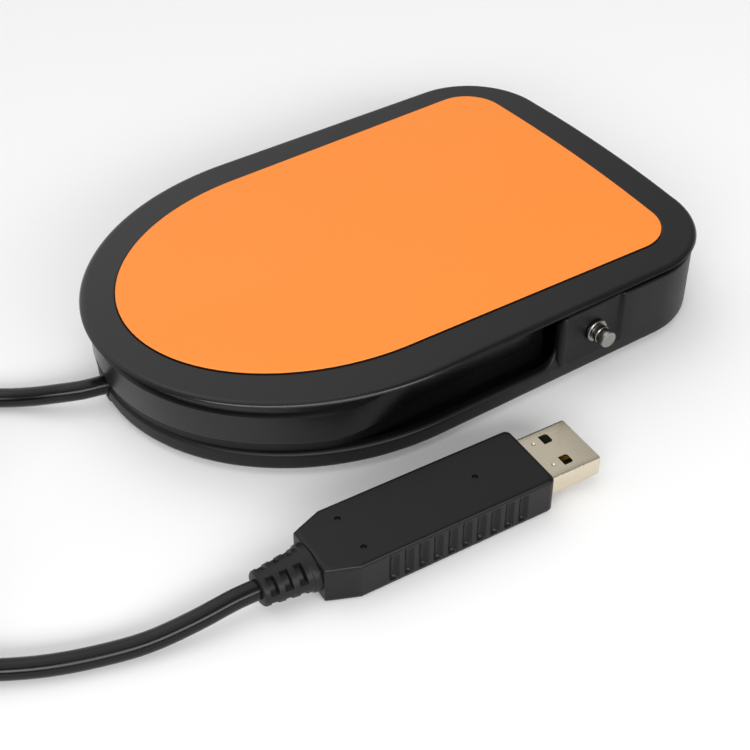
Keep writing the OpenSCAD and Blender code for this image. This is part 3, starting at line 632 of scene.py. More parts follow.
def stations(side_xs: Sequence[float], toe_angles: Sequence[float] = ()) -> list[Station]:
    """Lists the places round an outline, counter-clockwise from the far end of the toe.

    Args:
        side_xs: places along the straight sides.
        toe_angles: more angles on the toe.

    Returns:
        The stations.
    """
    toe_steps, corner_steps, bow_steps = 96, 20, 8
    near = sorted(side_xs)
    toe = sorted({90 + 180 * k / toe_steps for k in range(toe_steps + 1)} | set(toe_angles))
    turn = [90 * k / corner_steps for k in range(corner_steps + 1)]
    found = [Station(Zone.TOE, a) for a in toe] + [Station(Zone.SIDE, x, -1) for x in near]
    found += [Station(Zone.CORNER, 270 + a, -1) for a in turn]
    found += [Station(Zone.BOW, -1 + k / bow_steps) for k in range(1, 2 * bow_steps)]
    return found + [Station(Zone.CORNER, a, 1) for a in turn] + [Station(Zone.SIDE, x, 1) for x in reversed(near)]


@dataclass(frozen=True)
class Outline:
    """Plan shape with a round toe, which may widen to the heel and lie to one side, in millimetres."""

    toe_mid: float
    toe_l: float
    half_w: float
    corner_x: float
    corner_r: float
    bow: float = 0.9
    flare: float = 0.0
    shift: float = 0.0

    def place(self, at: Station, inset: float, toe_in: float = 0.0, heel_in: float = 0.0) -> Flat:
        """Gives the plan position of a station.

        Args:
            at: the station.
            inset: distance that the outline is drawn in all round.
            toe_in: further distance at the toe.
            heel_in: further distance at the heel.

        Returns:
            X and Y.
        """
        a, half = math.radians(at.value), self.half_w - inset
        if at.zone is Zone.TOE:
            return self.toe_mid + (self.toe_l - inset - toe_in) * math.cos(a), self.shift + half * math.sin(a)
        if at.zone is Zone.SIDE:
            share = (at.value - self.toe_mid) / (self.corner_x - self.toe_mid)
            return at.value, self.shift + at.side * (half + self.flare * share)
        r, x, y = self.corner_r - inset, self.corner_x - heel_in, self.half_w + self.flare - self.corner_r
        if at.zone is Zone.CORNER:
            return x + r * math.cos(a), self.shift + at.side * y + r * math.sin(a)
        return x + r + self.bow * (1 - at.value ** 2), self.shift + at.value * y


@dataclass
class Pedal:
    """Sizes that the cover and the tray share, in millimetres."""

    plate: Outline = Outline(toe_mid=-12.0, toe_l=50.0, half_w=41.5, corner_x=42.6, corner_r=18.5)
    pad: Outline = Outline(
        toe_mid=-12.0, toe_l=42.9, half_w=33.15, corner_x=43.9, corner_r=9.0, flare=1.45, shift=0.65,
    )
    base_z: float = 1.0
    floor_z: float = 2.6
    rim_z: float = 5.4
    plate_z: float = 15.5
    plate_t: float = 3.0
    under_in: float = 2.6
    wall_t: float = 1.8
    base_inset: float = 0.4
    toe_in: float = 1.5
    heel_in: float = 0.2
    skirt_in: float = 0.6
    skirt_toe_in: float = 0.8
    skirt_t: float = 1.0
    skirt_thin: float = 0.25
    skirt_z: float = 7.8
    side_recess: float = 5.0
    recess_from: float = 62.0
    lap_in: float = 1.55
    lap_back: float = 3.75
    lap_z: float = 8.4
    heel_gap: float = 0.3
    pin_x: float = 26.0
    pin_z: float = 9.5
    pin_r: float = 1.8
    ear_r: float = 4.6
    ear_t: float = 4.0
    ear_gap: float = 0.5
    boss_t: float = 3.9
    spring_x: float = -25.0
    spigot_r: float = 3.3
    spigot_h: float = 3.0
    stop_x: float = -42.0
    stop_y: float = 18.0
    post_edge: float = 0.25
    lead_at: Point = (-60.536, 5.0, 4.6)
    lead_turn: float = 13.0
    lead_r: float = 1.9

    @property
    def plate_top(self) -> float:
        """Height of the plate's upper face."""
        return self.plate_z + self.plate_t

    @property
    def heel_top(self) -> float:
        """Height of the tray's heel wall."""
        return self.plate_z - self.heel_gap

    @property
    def wall_in(self) -> float:
        """Inset of the tray wall's inner face."""
        return self.base_inset + self.wall_t

    @property
    def boss_y(self) -> float:
        """Distance of a pin boss's inner face from the middle line."""
        return self.plate.half_w - self.wall_in - self.boss_t

    def ring(self, outline: Outline, inset: float, z: float) -> list[Point]:
        """Closed ring of an outline at an inset and a height."""
        spots = stations([outline.toe_mid + 10 * k for k in range(1, 6)])
        return [(*outline.place(s, inset), z) for s in spots]

    def toe_marks(self, inset: float, ys: Sequence[float]) -> list[float]:
        """Angles on the toe at given distances to the far side."""
        reach = self.plate.half_w - inset
        return [180 - math.degrees(math.asin(y / reach)) for y in ys]

    def skirt_place(self, at: Station, inset: float) -> Flat:
        """Gives the plan position of a station on the skirt: flush at the toe and set back along the sides.

        Args:
            at: a station on the toe or on a side.
            inset: distance that the outline is drawn in all round.

        Returns:
            X and Y.
        """
        if at.zone is Zone.SIDE:
            return self.plate.place(at, inset + self.side_recess)
        t = max(0.0, (abs(at.value - 180) - self.recess_from) / (90 - self.recess_from))
        return self.plate.place(at, inset + self.side_recess * t * t * (3 - 2 * t), self.skirt_toe_in)

    def skirt_run(self, spots: Sequence[Station], end_x: float, section: Callable[[Station], list[Flat]]) -> Shell:
        """Runs a section along the skirt's line, from the far side round the toe to the near side.

        Args:
            spots: stations to pick from.
            end_x: place along the sides where it ends.
            section: gives the pairs of inset and height at a station.

        Returns:
            Points and faces.
        """
        sides = [s for s in spots if s.zone is Zone.SIDE and s.value <= end_x]
        run = [s for s in sides if s.side > 0] + [s for s in spots if s.zone is Zone.TOE]
        run += [s for s in sides if s.side < 0]
        return loft([[(*self.skirt_place(s, i), z) for i, z in section(s)] for s in run])

    def post(self, x: float, y: float, low: float, high: float, r: float, hanging: bool = False) -> Shell:
        """Round post with a soft edge at its free end.

        Args:
            x: place along the pedal.
            y: place across it.
            low: height of its lower end.
            high: height of its upper end.
            r: radius.
            hanging: whether the lower end is the free one.

        Returns:
            Points and faces.
        """
        e = self.post_edge
        side = [(r - e, low), (r, low + e), (r, high)] if hanging else [(r, low), (r, high - e), (r - e, high)]
        return revolve([(AXIS, low), *side, (AXIS, high)], 32, lambda a, b, c: (x + a, y + b, c))


@dataclass
class Cover:
    """Hinged cover: plate, skirt, ears and posts, with the orange pad let into it."""

    pedal: Pedal
    edge_round: float = 1.2
    edge_deg: float = 65.0
    lip_h: float = 0.15
    lip_soft: Flat = (0.1, 0.06)
    flat_in: float = 2.0
    flat_top: float = 0.3
    step_in: float = 0.8
    step_z: Flat = (14.9, 14.4)
    skirt_round: float = 0.45
    skirt_edge: float = 0.2
    skirt_up: float = 0.7
    skirt_end_x: float = 16.1
    notch: Flat = (2.62, 7.24)
    notch_z: float = 8.9
    pad_gap: float = 0.05
    pad_in: float = 0.05
    pad_t: float = 0.9
    pad_round: float = 0.2
    pad_flat: float = 0.5
    pad_recess: float = 0.55
    recess_soft: float = 0.15
    recess_lead: float = 0.2
    recess_floor: float = 0.6
    join: float = 0.4
    bore_gap: float = 0.05
    press_low: Point = (-1.0, -4.0, 13.85)
    press_high: Flat = (1.0, 4.0)
    stop_z: float = 7.51
    stop_r: float = 3.0

    def make_plate(self) -> Shell:
        """Makes the plate with its thin round lip and the pad's recess.

        Returns:
            Points and faces.
        """
        p, r, soft, gap = self.pedal, self.edge_round, self.recess_soft, self.pad_gap
        turns = [math.radians(self.edge_deg * (1 - k / 10)) for k in range(11)]
        middle = self.lip_h / math.tan(turns[0]) + r * math.sin(turns[0])
        top, rise, low = p.plate_top, p.plate_top - r, p.plate_top - self.pad_recess
        lip_z = rise + r * math.cos(turns[0]) - self.lip_h
        pairs = [(p.under_in + self.flat_in, p.plate_z), (p.under_in, p.plate_z)]
        pairs += [(self.lip_soft[0], lip_z - self.lip_soft[1]), (0.0, lip_z)]
        pairs += [(middle - r * math.sin(a), rise + r * math.cos(a)) for a in turns]
        pairs.append((middle + self.flat_top, top))
        recess = [(-gap - soft - self.recess_lead, top), (-gap - soft, top), (-gap - soft / 3, top - soft / 3)]
        recess += [(-gap, top - soft), (-gap, low), (self.recess_floor, low)]
        return loft([p.ring(p.plate, i, z) for i, z in pairs] + [p.ring(p.pad, i, z) for i, z in recess])

    def skirt_section(self, at: Station) -> list[Flat]:
        """Gives the skirt's section at a station: a step under the plate, the wall and its round lower edge.

        Args:
            at: the station.

        Returns:
            Pairs of inset and height.
        """
        p, edge = self.pedal, self.skirt_edge
        inset, top, back = p.skirt_in, p.plate_z + self.skirt_up, p.skirt_in + p.skirt_t
        thin = back - p.skirt_thin
        low = self.notch_z if self.notch[0] < p.skirt_place(at, inset)[1] < self.notch[1] else p.skirt_z
        step = [(inset + self.step_in, top), (inset + self.step_in, self.step_z[0]), (inset, self.step_z[1])]
        lower = quarter(inset, low, self.skirt_round, 6, False)[::-1]
        return [*step, *lower, (thin - edge, low), (thin, low + edge), (back, top)]

    def make_skirt(self) -> Shell:
        """Makes the skirt under the plate, open at the heel and notched for the lead.

        Returns:
            Points and faces.
        """
        p = self.pedal
        marks = p.toe_marks(p.skirt_in, [y + d for y in self.notch for d in (-HAIR, HAIR)])
        xs = [p.plate.toe_mid + 3.1 * k for k in range(1, 10)] + [self.skirt_end_x]
        return p.skirt_run(stations(xs, marks), self.skirt_end_x, self.skirt_section)

    def make_ear(self, side: int) -> Shell:
        """Makes an ear with a bore that turns on the pin.

        Args:
            side: -1 for the near ear, 1 for the far one.

        Returns:
            Points and faces.
        """
        p, outer = self.pedal, self.pedal.boss_y - self.pedal.ear_gap
        bore, top = p.pin_r + self.bore_gap, p.plate_z + self.join - p.pin_z
        rings = []
        for y in (outer, outer - p.ear_t):
            hole, rim = [], []
            for a in circle(48):
                c, s = math.cos(a), math.sin(a)
                reach = p.ear_r if s <= 0 else min(p.ear_r / max(abs(c), 1e-6), top / s)
                hole.append((p.pin_x + bore * c, side * y, p.pin_z + bore * s))
                rim.append((p.pin_x + reach * c, side * y, p.pin_z + reach * s))
            rings += [hole, rim] if y == outer else [rim, hole]
        return hoop(rings)

    def build(self) -> None:
        """Makes the cover and the pad."""
        p = self.pedal
        high, low = p.plate_z + self.join, p.plate_top - self.pad_recess
        shells = [self.make_plate(), self.make_skirt(), self.make_ear(-1), self.make_ear(1)]
        shells.append(bar(self.press_low, (*self.press_high, high)))
        shells.append(p.post(p.spring_x, 0, p.plate_z - p.spigot_h, high, p.spigot_r, True))
        shells += [p.post(p.stop_x, side * p.stop_y, self.stop_z, high, self.stop_r, True) for side in (-1, 1)]
        seat(make_piece("cover_moulding", shells, MOULDED_ABS), "pedal", "black_plastic", "pedal_cover")
        top = low + self.pad_t
        pairs = [(self.recess_floor, low), (0.0, low), *quarter(0.0, top, self.pad_round, 4, True)]
        pairs.append((self.pad_flat, top))
        pad = make_piece("orange_pad", [loft([p.ring(p.pad, i + self.pad_in, z) for i, z in pairs])], PAD_SHEET)
        seat(pad, "pedal", "pad_orange", "foot_pad")


@dataclass
class Tray:
    """Base tray with its low rim, inner wall, raised heel wall, pin pockets, bosses and posts, on four feet."""

    pedal: Pedal
    heel_wall_x: float = 16.5
    fillet: float = 4.0
    front_rise: float = 1.4
    front_round: float = 1.2
    pocket_ends: Flat = (18.3, 32.0)
    pocket_soft: Flat = (0.5, 0.6)
    pocket_depth: float = 1.0
    pocket_low: float = 7.0
    pocket_end: float = 4.6
    lap_end_x: float = 17.1
    lap_edge: float = 0.3
    groove_r: float = 2.2
    groove_step: float = 0.2
    edge: float = 0.6
    rim_edge: float = 0.9
    edge_share: float = 1.8
    heel_rise: float = 1.1
    under_slope: float = 0.84
    under_gap: float = 0.15
    base_round: float = 1.5
    floor_run: float = 0.5
    least: float = 0.1
    join: float = 0.2
    boss_half: float = 6.0
    boss_join: float = 0.4
    boss_edge: float = 0.3
    board_x: float = -3.0
    board_post: Flat = (12.4, 6.4)
    board_post_h: float = 2.0
    board_post_r: float = 2.3
    feet: tuple[Flat, ...] = ((-38.0, -20.0), (-38.0, 20.0), (48.0, -26.0), (48.0, 26.0))
    # Radius and height of a foot, from its hollow underside to its top in the tray.
    foot_profile: tuple[Flat, ...] = (
        (AXIS, 0.25), (3.9, 0.25), (4.3, 0.05), (4.6, 0.0), (5.0, 0.0), (5.35, 0.12), (5.5, 0.45), (5.5, 1.6),
        (AXIS, 1.6),
    )

    def rim_at(self, at: Station) -> float:
        """Height of the rim at a station, lower where the lead lies in it.

        Args:
            at: the station.

        Returns:
            The height.
        """
        p = self.pedal
        x, y = p.plate.place(at, p.base_inset, p.toe_in)
        turn = math.radians(p.lead_turn)
        off = (x - p.lead_at[0]) * math.sin(turn) + (y - p.lead_at[1]) * math.cos(turn)
        if abs(off) >= self.groove_r:
            return p.rim_z
        return min(p.rim_z, p.lead_at[2] - math.sqrt(self.groove_r ** 2 - off ** 2))

    def top_at(self, at: Station) -> float:
        """Height of the outer wall at a station.

        Args:
            at: the station.

        Returns:
            The height of its top.
        """
        p = self.pedal
        if at.zone in (Zone.CORNER, Zone.BOW):
            return p.heel_top
        past = p.plate.place(at, p.base_inset)[0] - self.heel_wall_x
        if past <= -self.fillet:
            return self.rim_at(at)
        if past <= 0:
            return p.rim_z + self.fillet - math.sqrt(max(0.0, self.fillet ** 2 - (past + self.fillet) ** 2))
        left = 1 - min(1.0, past / self.front_rise)
        return p.heel_top - self.front_rise + self.front_rise * math.sqrt(1 - left ** 2)

    def set_back(self, at: Station) -> float:
        """How far the wall's upper part stands in: the pin pocket and the heel wall's round front edge.

        Args:
            at: the station.

        Returns:
            The distance.
        """
        if at.zone is not Zone.SIDE:
            return 0.0
        gaps = (at.value - self.pocket_ends[0], self.pocket_ends[1] - at.value)
        inside = min(gap / soft for gap, soft in zip(gaps, self.pocket_soft))
        pocket = self.pocket_depth * (1 - math.cos(math.pi * clamp(0.5 + inside / 2))) / 2
        past = at.value - self.heel_wall_x
        if past <= 0:
            return self.front_round * max(0.0, 1 + past / self.fillet) ** 2
        left = max(0.0, 1 - past / self.front_round)
        return max(pocket, self.front_round * (1 - math.sqrt(1 - left ** 2)))

    def spots(self) -> list[Station]:
        """Lists the tray's stations, close together at the pocket's ends and where the lead leaves.

        Returns:
            The stations.
        """
        p, front, right = self.pedal, self.heel_wall_x, math.pi / 2
        xs = [p.plate.toe_mid + 4 * k for k in range(1, 6)]
        xs += [front - self.fillet + self.fillet * math.sin(right * k / 8) for k in range(9)]
        xs += [front + self.front_rise * (1 - math.cos(right * (k + HAIR) / 6)) for k in range(7)]
        for end, soft in zip(self.pocket_ends, self.pocket_soft):
            xs += [end + soft * k / 4 for k in range(-4, 5)]
        xs += [self.lap_end_x, p.pin_x, self.pocket_ends[1] + 4, self.pocket_ends[1] + 7]
        groove = [p.lead_at[1] + self.groove_step * k for k in range(-13, 14)]
        return stations(sorted(set(xs)), p.toe_marks(p.base_inset, groove))

    def section(self, at: Station) -> list[Flat]:
        """Gives the outer wall's section at a station, from the floor inside to the underside.

        Args:
            at: the station.

        Returns:
            Pairs of inset and height.
        """
        p, top, outer = self.pedal, self.top_at(at), self.pedal.base_inset + self.set_back(at)
        share = (top - p.rim_z) / (p.heel_top - p.rim_z)
        soft = min(self.rim_edge + (self.edge - self.rim_edge) * share, (top - p.base_z) / self.edge_share)
        low = min(self.pocket_low, top - soft - self.least)
        end = min(self.pocket_end, low - self.least)
        under = min(self.base_round, end - p.base_z - self.least / 2)
        # The heel wall's outer edge rises close under the plate's slanted lip, over the last fifth of its height.
        room = self.under_slope * (p.under_in - outer - soft) - self.under_gap
        crest = top + max(0.0, min(self.heel_rise, room)) * max(0.0, 5 * share - 4)
        inside = [(p.wall_in + self.floor_run, p.floor_z), (p.wall_in, p.floor_z)]
        inside += [(p.wall_in, top - 2 * HAIR), (p.wall_in - 2 * HAIR, top), (outer + soft + HAIR, crest)]
        outside = [*quarter(outer, crest, soft, 5, True)[::-1], (outer, low), (p.base_inset, end)]
        outside += [(p.base_inset, end - HAIR), *quarter(p.base_inset, p.base_z, under, 6, False)[::-1]]
        return [*inside, *outside, (p.base_inset + self.base_round + self.floor_run, p.base_z)]

    def wall(self) -> Shell:
        """Makes the outer wall, floor and underside as one closed shell.

        Returns:
            Points and faces.
        """
        p = self.pedal
        rings = [[(*p.plate.place(s, i, p.toe_in, p.heel_in), z) for i, z in self.section(s)] for s in self.spots()]
        return loft(list(zip(*rings)))

    def inner_wall(self) -> Shell:
        """Makes the wall that closes the gap behind the skirt.

        Returns:
            Points and faces.
        """
        p, e = self.pedal, self.lap_edge
        low, high = p.floor_z - 2 * self.join, p.lap_z
        section = [(p.lap_in, low), (p.lap_in, high - e), (p.lap_in + e, high)]
        section += [(p.lap_back - e, high), (p.lap_back, high - e), (p.lap_back, low)]
        return p.skirt_run(self.spots(), self.lap_end_x, lambda at: section)

    def build(self) -> None:
        """Makes the tray and its feet."""
        p = self.pedal
        low, half = p.floor_z - self.join, self.boss_half
        shells = [self.wall(), self.inner_wall()]
        for side in (-1, 1):
            y0, y1 = sorted((side * p.boss_y, side * (p.boss_y + p.boss_t + self.boss_join)))
            shells.append(bar((p.pin_x - half, y0, low), (p.pin_x + half, y1, p.pin_z + p.ear_r), self.boss_edge))
        shells.append(p.post(p.spring_x, 0, low, p.floor_z + p.spigot_h, p.spigot_r))
        for side in (-1, 1):
            x, y = self.board_x + side * self.board_post[0], side * self.board_post[1]
            shells.append(p.post(x, y, low, p.floor_z + self.board_post_h, self.board_post_r))
        seat(make_piece("tray_moulding", shells, TRAY_ABS), "base", "black_plastic", "base_tray")
        foot = make_piece("foot_item", [revolve(self.foot_profile, 48, lambda a, b, c: (a, b, c))], MOULDED_RUBBER)
        spots = [(x, y, 0.0) for x, y in self.feet]
        feet = grow("foot_set", spots, [], copies_tree(), {"Item": foot}, MOULDED_RUBBER)
        bpy.data.meshes.remove(foot.data)
        seat(feet, "base", "black_rubber", "rubber_feet")


@dataclass
class Hinge:
    """Turned pin across the pedal, with a retaining clip in a groove at each end, and the return spring."""

    pedal: Pedal
    pocket_y: float = 40.1
    pin_out: float = 4.4
    plain_half: float = 10.0
    groove_out: float = 0.1
    # Cut below the pin's surface and distance past the groove's start, then cut and distance before the end.
    groove_cuts: tuple[Flat, ...] = (
        (0.0, 0.0), (0.4, 0.01), (0.4, 0.9), (0.0, 0.91), (0.0, 2.1), (0.12, 2.22), (0.12, 2.5), (0.0, 2.62),
    )
    end_cuts: tuple[Flat, ...] = ((0.0, 0.45), (0.12, 0.16), (0.45, 0.0), (0.7, 0.0))
    clip_out: float = 0.2
    clip_r: float = 2.4
    clip_t: float = 0.7
    clip_grip: float = 0.38
    clip_edge: float = 0.12
    clip_gap_deg: float = 26.0
    press_deg: float = 1.4
    spring_r: float = 4.0
    spring_wire: float = 1.0
    spring_turns: int = 6
    spring_dead: float = 0.75
    spring_gap: float = 0.1

    def build_pin(self) -> None:
        """Makes the pin."""
        p, end, groove = self.pedal, self.pocket_y + self.pin_out, self.pocket_y + self.groove_out
        upper = [(p.pin_r - cut, groove + along) for cut, along in self.groove_cuts]
        upper += [(p.pin_r - cut, end - along) for cut, along in self.end_cuts] + [(AXIS, end)]
        plain = [(p.pin_r, -self.plain_half), (p.pin_r, self.plain_half)]
        profile = [(r, -along) for r, along in reversed(upper)] + plain + upper
        shell = revolve(profile, 64, lambda a, b, c: (p.pin_x + a, c, p.pin_z + b))
        seat(make_piece("pin_turned", [shell], TURNED_STEEL), "base", "bright_steel", "hinge_pin")

    def build_clips(self) -> None:
        """Makes the two clips, open at the bottom."""
        p, e, outer, inner = self.pedal, self.clip_edge, self.clip_r, self.pedal.pin_r - self.clip_grip
        near, steps = self.pocket_y + self.clip_out, 48
        far = near + self.clip_t
        section = [(inner, near), (outer - e, near), (outer, near + e)]
        section += [(outer, far - e), (outer - e, far), (inner, far)]
        open_deg = 360 - 2 * self.clip_gap_deg
        turn = [math.radians(-90 + self.clip_gap_deg + open_deg * k / steps) for k in range(steps + 1)]
        made = []
        for side in (-1, 1):
            made.append(loft([
                [(p.pin_x + r * math.cos(a), side * y, p.pin_z + r * math.sin(a)) for r, y in section] for a in turn
            ]))
        seat(make_piece("clip_pair", made, TURNED_STEEL), "base", "bright_steel", "pin_clips")

    def build_spring(self) -> None:
        """Makes the spring."""
        p, r, room = self.pedal, self.spring_r, self.pedal.plate_z - self.pedal.floor_z
        low = p.floor_z + self.spring_wire / 2 + self.spring_gap
        rise, steps, dead = room - self.spring_wire - 2 * self.spring_gap, 36, self.spring_dead
        path = []
        for k in range(self.spring_turns * steps + 1):
            t = k / steps
            share, a = clamp((t - dead) / (self.spring_turns - 2 * dead)), 2 * math.pi * t
            path.append((p.spring_x + r * math.cos(a), r * math.sin(a), low + rise * share))
        lines = [(k, k + 1) for k in range(len(path) - 1)]
        values = {"Wire Radius": self.spring_wire / 2 * MM, "Sides": 12}
        spring = grow("spring_wound", path, lines, wire_tree(), values, SPRING_WIRE)
        seat(spring, "base", "bright_steel", "return_spring")
        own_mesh(spring)

    def build(self) -> None:
        """Makes the pin, the clips and the spring."""
        self.build_pin()
        self.build_clips()
        self.build_spring()


@dataclass
class Plug:
    """USB plug lying on the floor: grained case, strain relief and metal shell. X points out of it."""

    at: Flat = (-5.5, -59.6)
    turn_deg: float = -3.2
    length: float = 46.5
    width: float = 15.4
    height: float = 8.0
    taper_l: float = 6.0
    back_w: float = 10.8
    front_r: float = 1.2
    top_round: float = 0.8
    groove_count: int = 10
    groove_pitch: float = 3.0
    groove_start: float = 7.0
    groove_depth: float = 0.7
    groove_step: float = 0.14
    # Height, inset and share of the grooves' depth, from the underside up to the round top edge.
    levels: tuple[Point, ...] = (
        (0.0, 1.4, 0.0), (0.0, 0.5, 0.0), (0.15, 0.15, 0.0), (0.5, 0.0, 0.0), (0.9, 0.0, 0.0), (1.1, 0.0, 0.6),
        (1.5, 0.0, 1.0), (6.0, 0.0, 1.0), (6.5, 0.0, 0.92), (6.8, 0.0, 0.7), (7.0, 0.0, 0.4), (7.12, 0.0, 0.0),
        (7.16, 0.0, 0.0),
    )
    top_insets: Flat = (1.1, 1.6)
    board_room: Point = (30.0, 11.4, 5.2)
    room_gap: float = 0.4
    room_lap: float = 0.1
    cut_past: float = 1.0
    marks: tuple[Flat, ...] = ((-38.5, 3.95), (-38.0, -4.1), (-12.3, 0.2))
    # Radius of a moulding mark and height over the case's top.
    mark_profile: tuple[Flat, ...] = ((AXIS, -0.4), (0.5, -0.4), (0.68, 0.3), (AXIS, 0.3))
    shell_w: float = 12.0
    shell_h: float = 4.5
    shell_t: float = 0.3
    shell_out: float = 11.4
    shell_in: float = 7.4
    shell_r: float = 0.55
    shell_inner_r: float = 0.15
    # Distance before the shell's front and inset, round its front edge.
    shell_lip: tuple[Flat, ...] = ((0.5, 0.0), (0.12, 0.04), (0.0, 0.14), (0.0, 0.28), (0.3, 0.3))
    window_back: float = 5.9
    window_y: float = 3.15
    window_half: Flat = (0.98, 1.15)
    window_cut: float = 0.35
    dimple_back: float = 8.7
    # Radius of a spring dimple and height over the shell's face.
    dimple_profile: tuple[Flat, ...] = ((AXIS, -0.14), (0.25, -0.12), (0.42, 0.0), (0.5, 0.3), (AXIS, 0.3))
    boot_l: float = 10.0
    boot_r: float = 3.8
    boot_end_r: float = 3.05
    boot_soft: float = 0.25
    boot_least: float = 0.25
    boot_oval: Flat = (1.22, 0.1)
    boot_end_l: float = 0.4
    collar_l: float = 1.3
    collar_soft: float = 0.2
    lead_r: float = 1.9
    slot_rows: tuple[float, ...] = (3.0, 5.6, 8.2)
    slot_half: float = 0.72
    slot_soft: float = 0.13
    slot_deep: float = 1.1
    slot_half_deg: float = 30.0
    slot_soft_deg: float = 4.0

    @property
    def mid(self) -> float:
        """Height of the plug's middle line."""
        return self.height / 2

    def put(self, x: float, y: float, z: float) -> Point:
        """Takes a point of the plug's own frame into the object's frame."""
        a = math.radians(self.turn_deg)
        return self.at[0] + x * math.cos(a) - y * math.sin(a), self.at[1] + x * math.sin(a) + y * math.cos(a), z

    def prism(self, plan: Sequence[Flat], low: float, high: float) -> Shell:
        """Upright prism on a plan in the plug's own frame."""
        return loft([[self.put(x, y, z) for x, y in plan] for z in (low, high)])

    def side_at(self, x: float) -> float:
        """Half width of the case at a place along it."""
        share = min(1.0, (x + self.length) / self.taper_l)
        return self.back_w / 2 + (self.width - self.back_w) / 2 * share

    def groove_at(self, x: float) -> float:
        """Share of the finger grooves' depth at a place along the case.

        Args:
            x: the place.

        Returns:
            The share.
        """
        k = round((-self.groove_start - x) / self.groove_pitch)
        if not 0 <= k < self.groove_count:
            return 0.0
        return max(0.0, 1 - (x + self.groove_start + k * self.groove_pitch) ** 2)

    def case(self) -> Shell:
        """Makes the case with round edges and finger grooves on both sides.

        Returns:
            Points and faces.
        """
        back, front = -self.length, -self.front_r
        stops = [back + self.taper_l * k / 4 for k in range(5)]
        while stops[-1] < front - self.groove_step:
            stops.append(stops[-1] + self.groove_step)
        corner = [(along, drop) for drop, along in quarter(0.0, 0.0, self.front_r, 6, True)]
        levels = [*self.levels, *((z, i, 0.0) for i, z in quarter(0.0, self.height, self.top_round, 6, True))]
        levels += [(self.height, i, 0.0) for i in self.top_insets]
        rings = []
        for z, inset, share in levels:
            near: list[Flat] = []
            for x in stops:
                reach = self.side_at(x) - inset - self.groove_depth * share * self.groove_at(x)
                near.append((min(max(x, back + inset), front - inset), reach))
            near += [(x - inset, self.width / 2 - inset - drop) for x, drop in corner]
            flat = [(x, -y) for x, y in near] + near[::-1]
            rings.append([self.put(x, y, z) for x, y in flat])
        return loft(rings)

    def cut_box(self, x0: float, x1: float, w: float, h: float) -> Shell:
        """Box of the plug's own frame, centred on its middle line."""
        plan = [(x0, -w / 2), (x1, -w / 2), (x1, w / 2), (x0, w / 2)]
        return self.prism(plan, self.mid - h / 2, self.mid + h / 2)

    def mark(self, x: float, y: float) -> Shell:
        """Cutter of a moulding mark on the case's top."""
        return revolve(self.mark_profile, 20, lambda a, b, c: self.put(x + a, y + b, self.height + c))

    def build_case(self) -> Piece:
        """Makes the case, hollow for the shell and the board, with three small moulding marks on top.

        Returns:
            The case.
        """
        long, wide, high = self.board_room
        bore, past, back = self.lead_r + HAIR, self.cut_past, -self.shell_in - self.room_gap
        cutters = [self.cut_box(back, past, self.shell_w + 2 * HAIR, self.shell_h + 2 * HAIR)]
        cutters.append(self.cut_box(back - long, back + self.room_lap, wide, high))
        hole = [(bore, -self.length - past), (bore, -self.shell_in - long + past)]
        cutters.append(revolve(hole, 40, lambda a, b, c: self.put(c, a, self.mid + b)))
        cutters += [self.mark(x, y) for x, y in self.marks]
        return cut_away(make_piece("plug_case", [self.case()], PLUG_ABS), cutters, PLUG_ABS)

    def boot_skin(self, x: float) -> float:
        """Half height of the strain relief at a distance from the case: a collar, then a straight taper."""
        taper = self.boot_r - (self.boot_r - self.boot_end_r) * x / self.boot_l
        return taper + self.boot_soft * clamp((self.collar_l - x) / self.collar_soft)

    def slot_depth(self, x: float, a: float) -> float:
        """Depth of the flexing slots, which lie between the quarters of a turn.

        Args:
            x: distance from the case.
            a: angle round the lead.

        Returns:
            The depth.
        """
        off = abs(a % (math.pi / 2) - math.pi / 4)
        along = clamp((self.slot_half - min(abs(row - x) for row in self.slot_rows)) / self.slot_soft)
        around = clamp((math.radians(self.slot_half_deg) - off) / math.radians(self.slot_soft_deg))
        return self.slot_deep * along * around

    def boot_ring(self, x: float, radii: Sequence[float], oval: float = 1.0) -> list[Point]:
        """Ring round the lead at a distance from the case.

        Args:
            x: the distance.
            radii: radius at each angle of a full turn.
            oval: how much wider than high the ring is.

        Returns:
            The ring.
        """
        spots = zip(circle(len(radii)), radii)
        return [self.put(-self.length - x, oval * r * math.cos(a), self.mid + r * math.sin(a)) for a, r in spots]

    def build_boot(self) -> Piece:
        """Makes the strain relief: a collar and an oval taper with three rows of flexing slots.

        Returns:
            The strain relief.
        """
        steps, turns, inner = 80, 120, self.lead_r + HAIR
        rings = [self.boot_ring(0.0, [inner] * turns)]
        for i in range(steps + 1):
            x = self.boot_l * i / steps
            skin = self.boot_skin(x) - self.boot_soft * max(0.0, 1 - (self.boot_l - x) / self.boot_end_l) ** 2
            radii = [max(inner + self.boot_least, skin - self.slot_depth(x, a)) for a in circle(turns)]
            rings.append(self.boot_ring(x, radii, self.boot_oval[0] - self.boot_oval[1] * x / self.boot_l))
        rings.append(self.boot_ring(self.boot_l, [inner] * turns))
        return make_piece("strain_relief", [hoop(rings)], SOFT_PVC, sharp_deg=40.0)

    def shell_ring(self, x: float, inset: float) -> list[Point]:
        """Rounded cross-section of the metal shell at a place along it.

        Args:
            x: the place.
            inset: distance from the outer face.

        Returns:
            The ring.
        """
        w, h, r = self.shell_w / 2 - inset, self.shell_h / 2 - inset, max(self.shell_inner_r, self.shell_r - inset)
        return [self.put(x, y, self.mid + z) for y, z in rounded((-w, w, -h, h), r, r, 6)]

    def dimple(self, y: float, up: int) -> Shell:
        """Cutter of a spring dimple on the shell's upper or lower face."""
        x, face = self.shell_out - self.dimple_back, self.mid + up * self.shell_h / 2
        return revolve(self.dimple_profile, 20, lambda a, b, c: self.put(x + a, y + b, face + up * c))

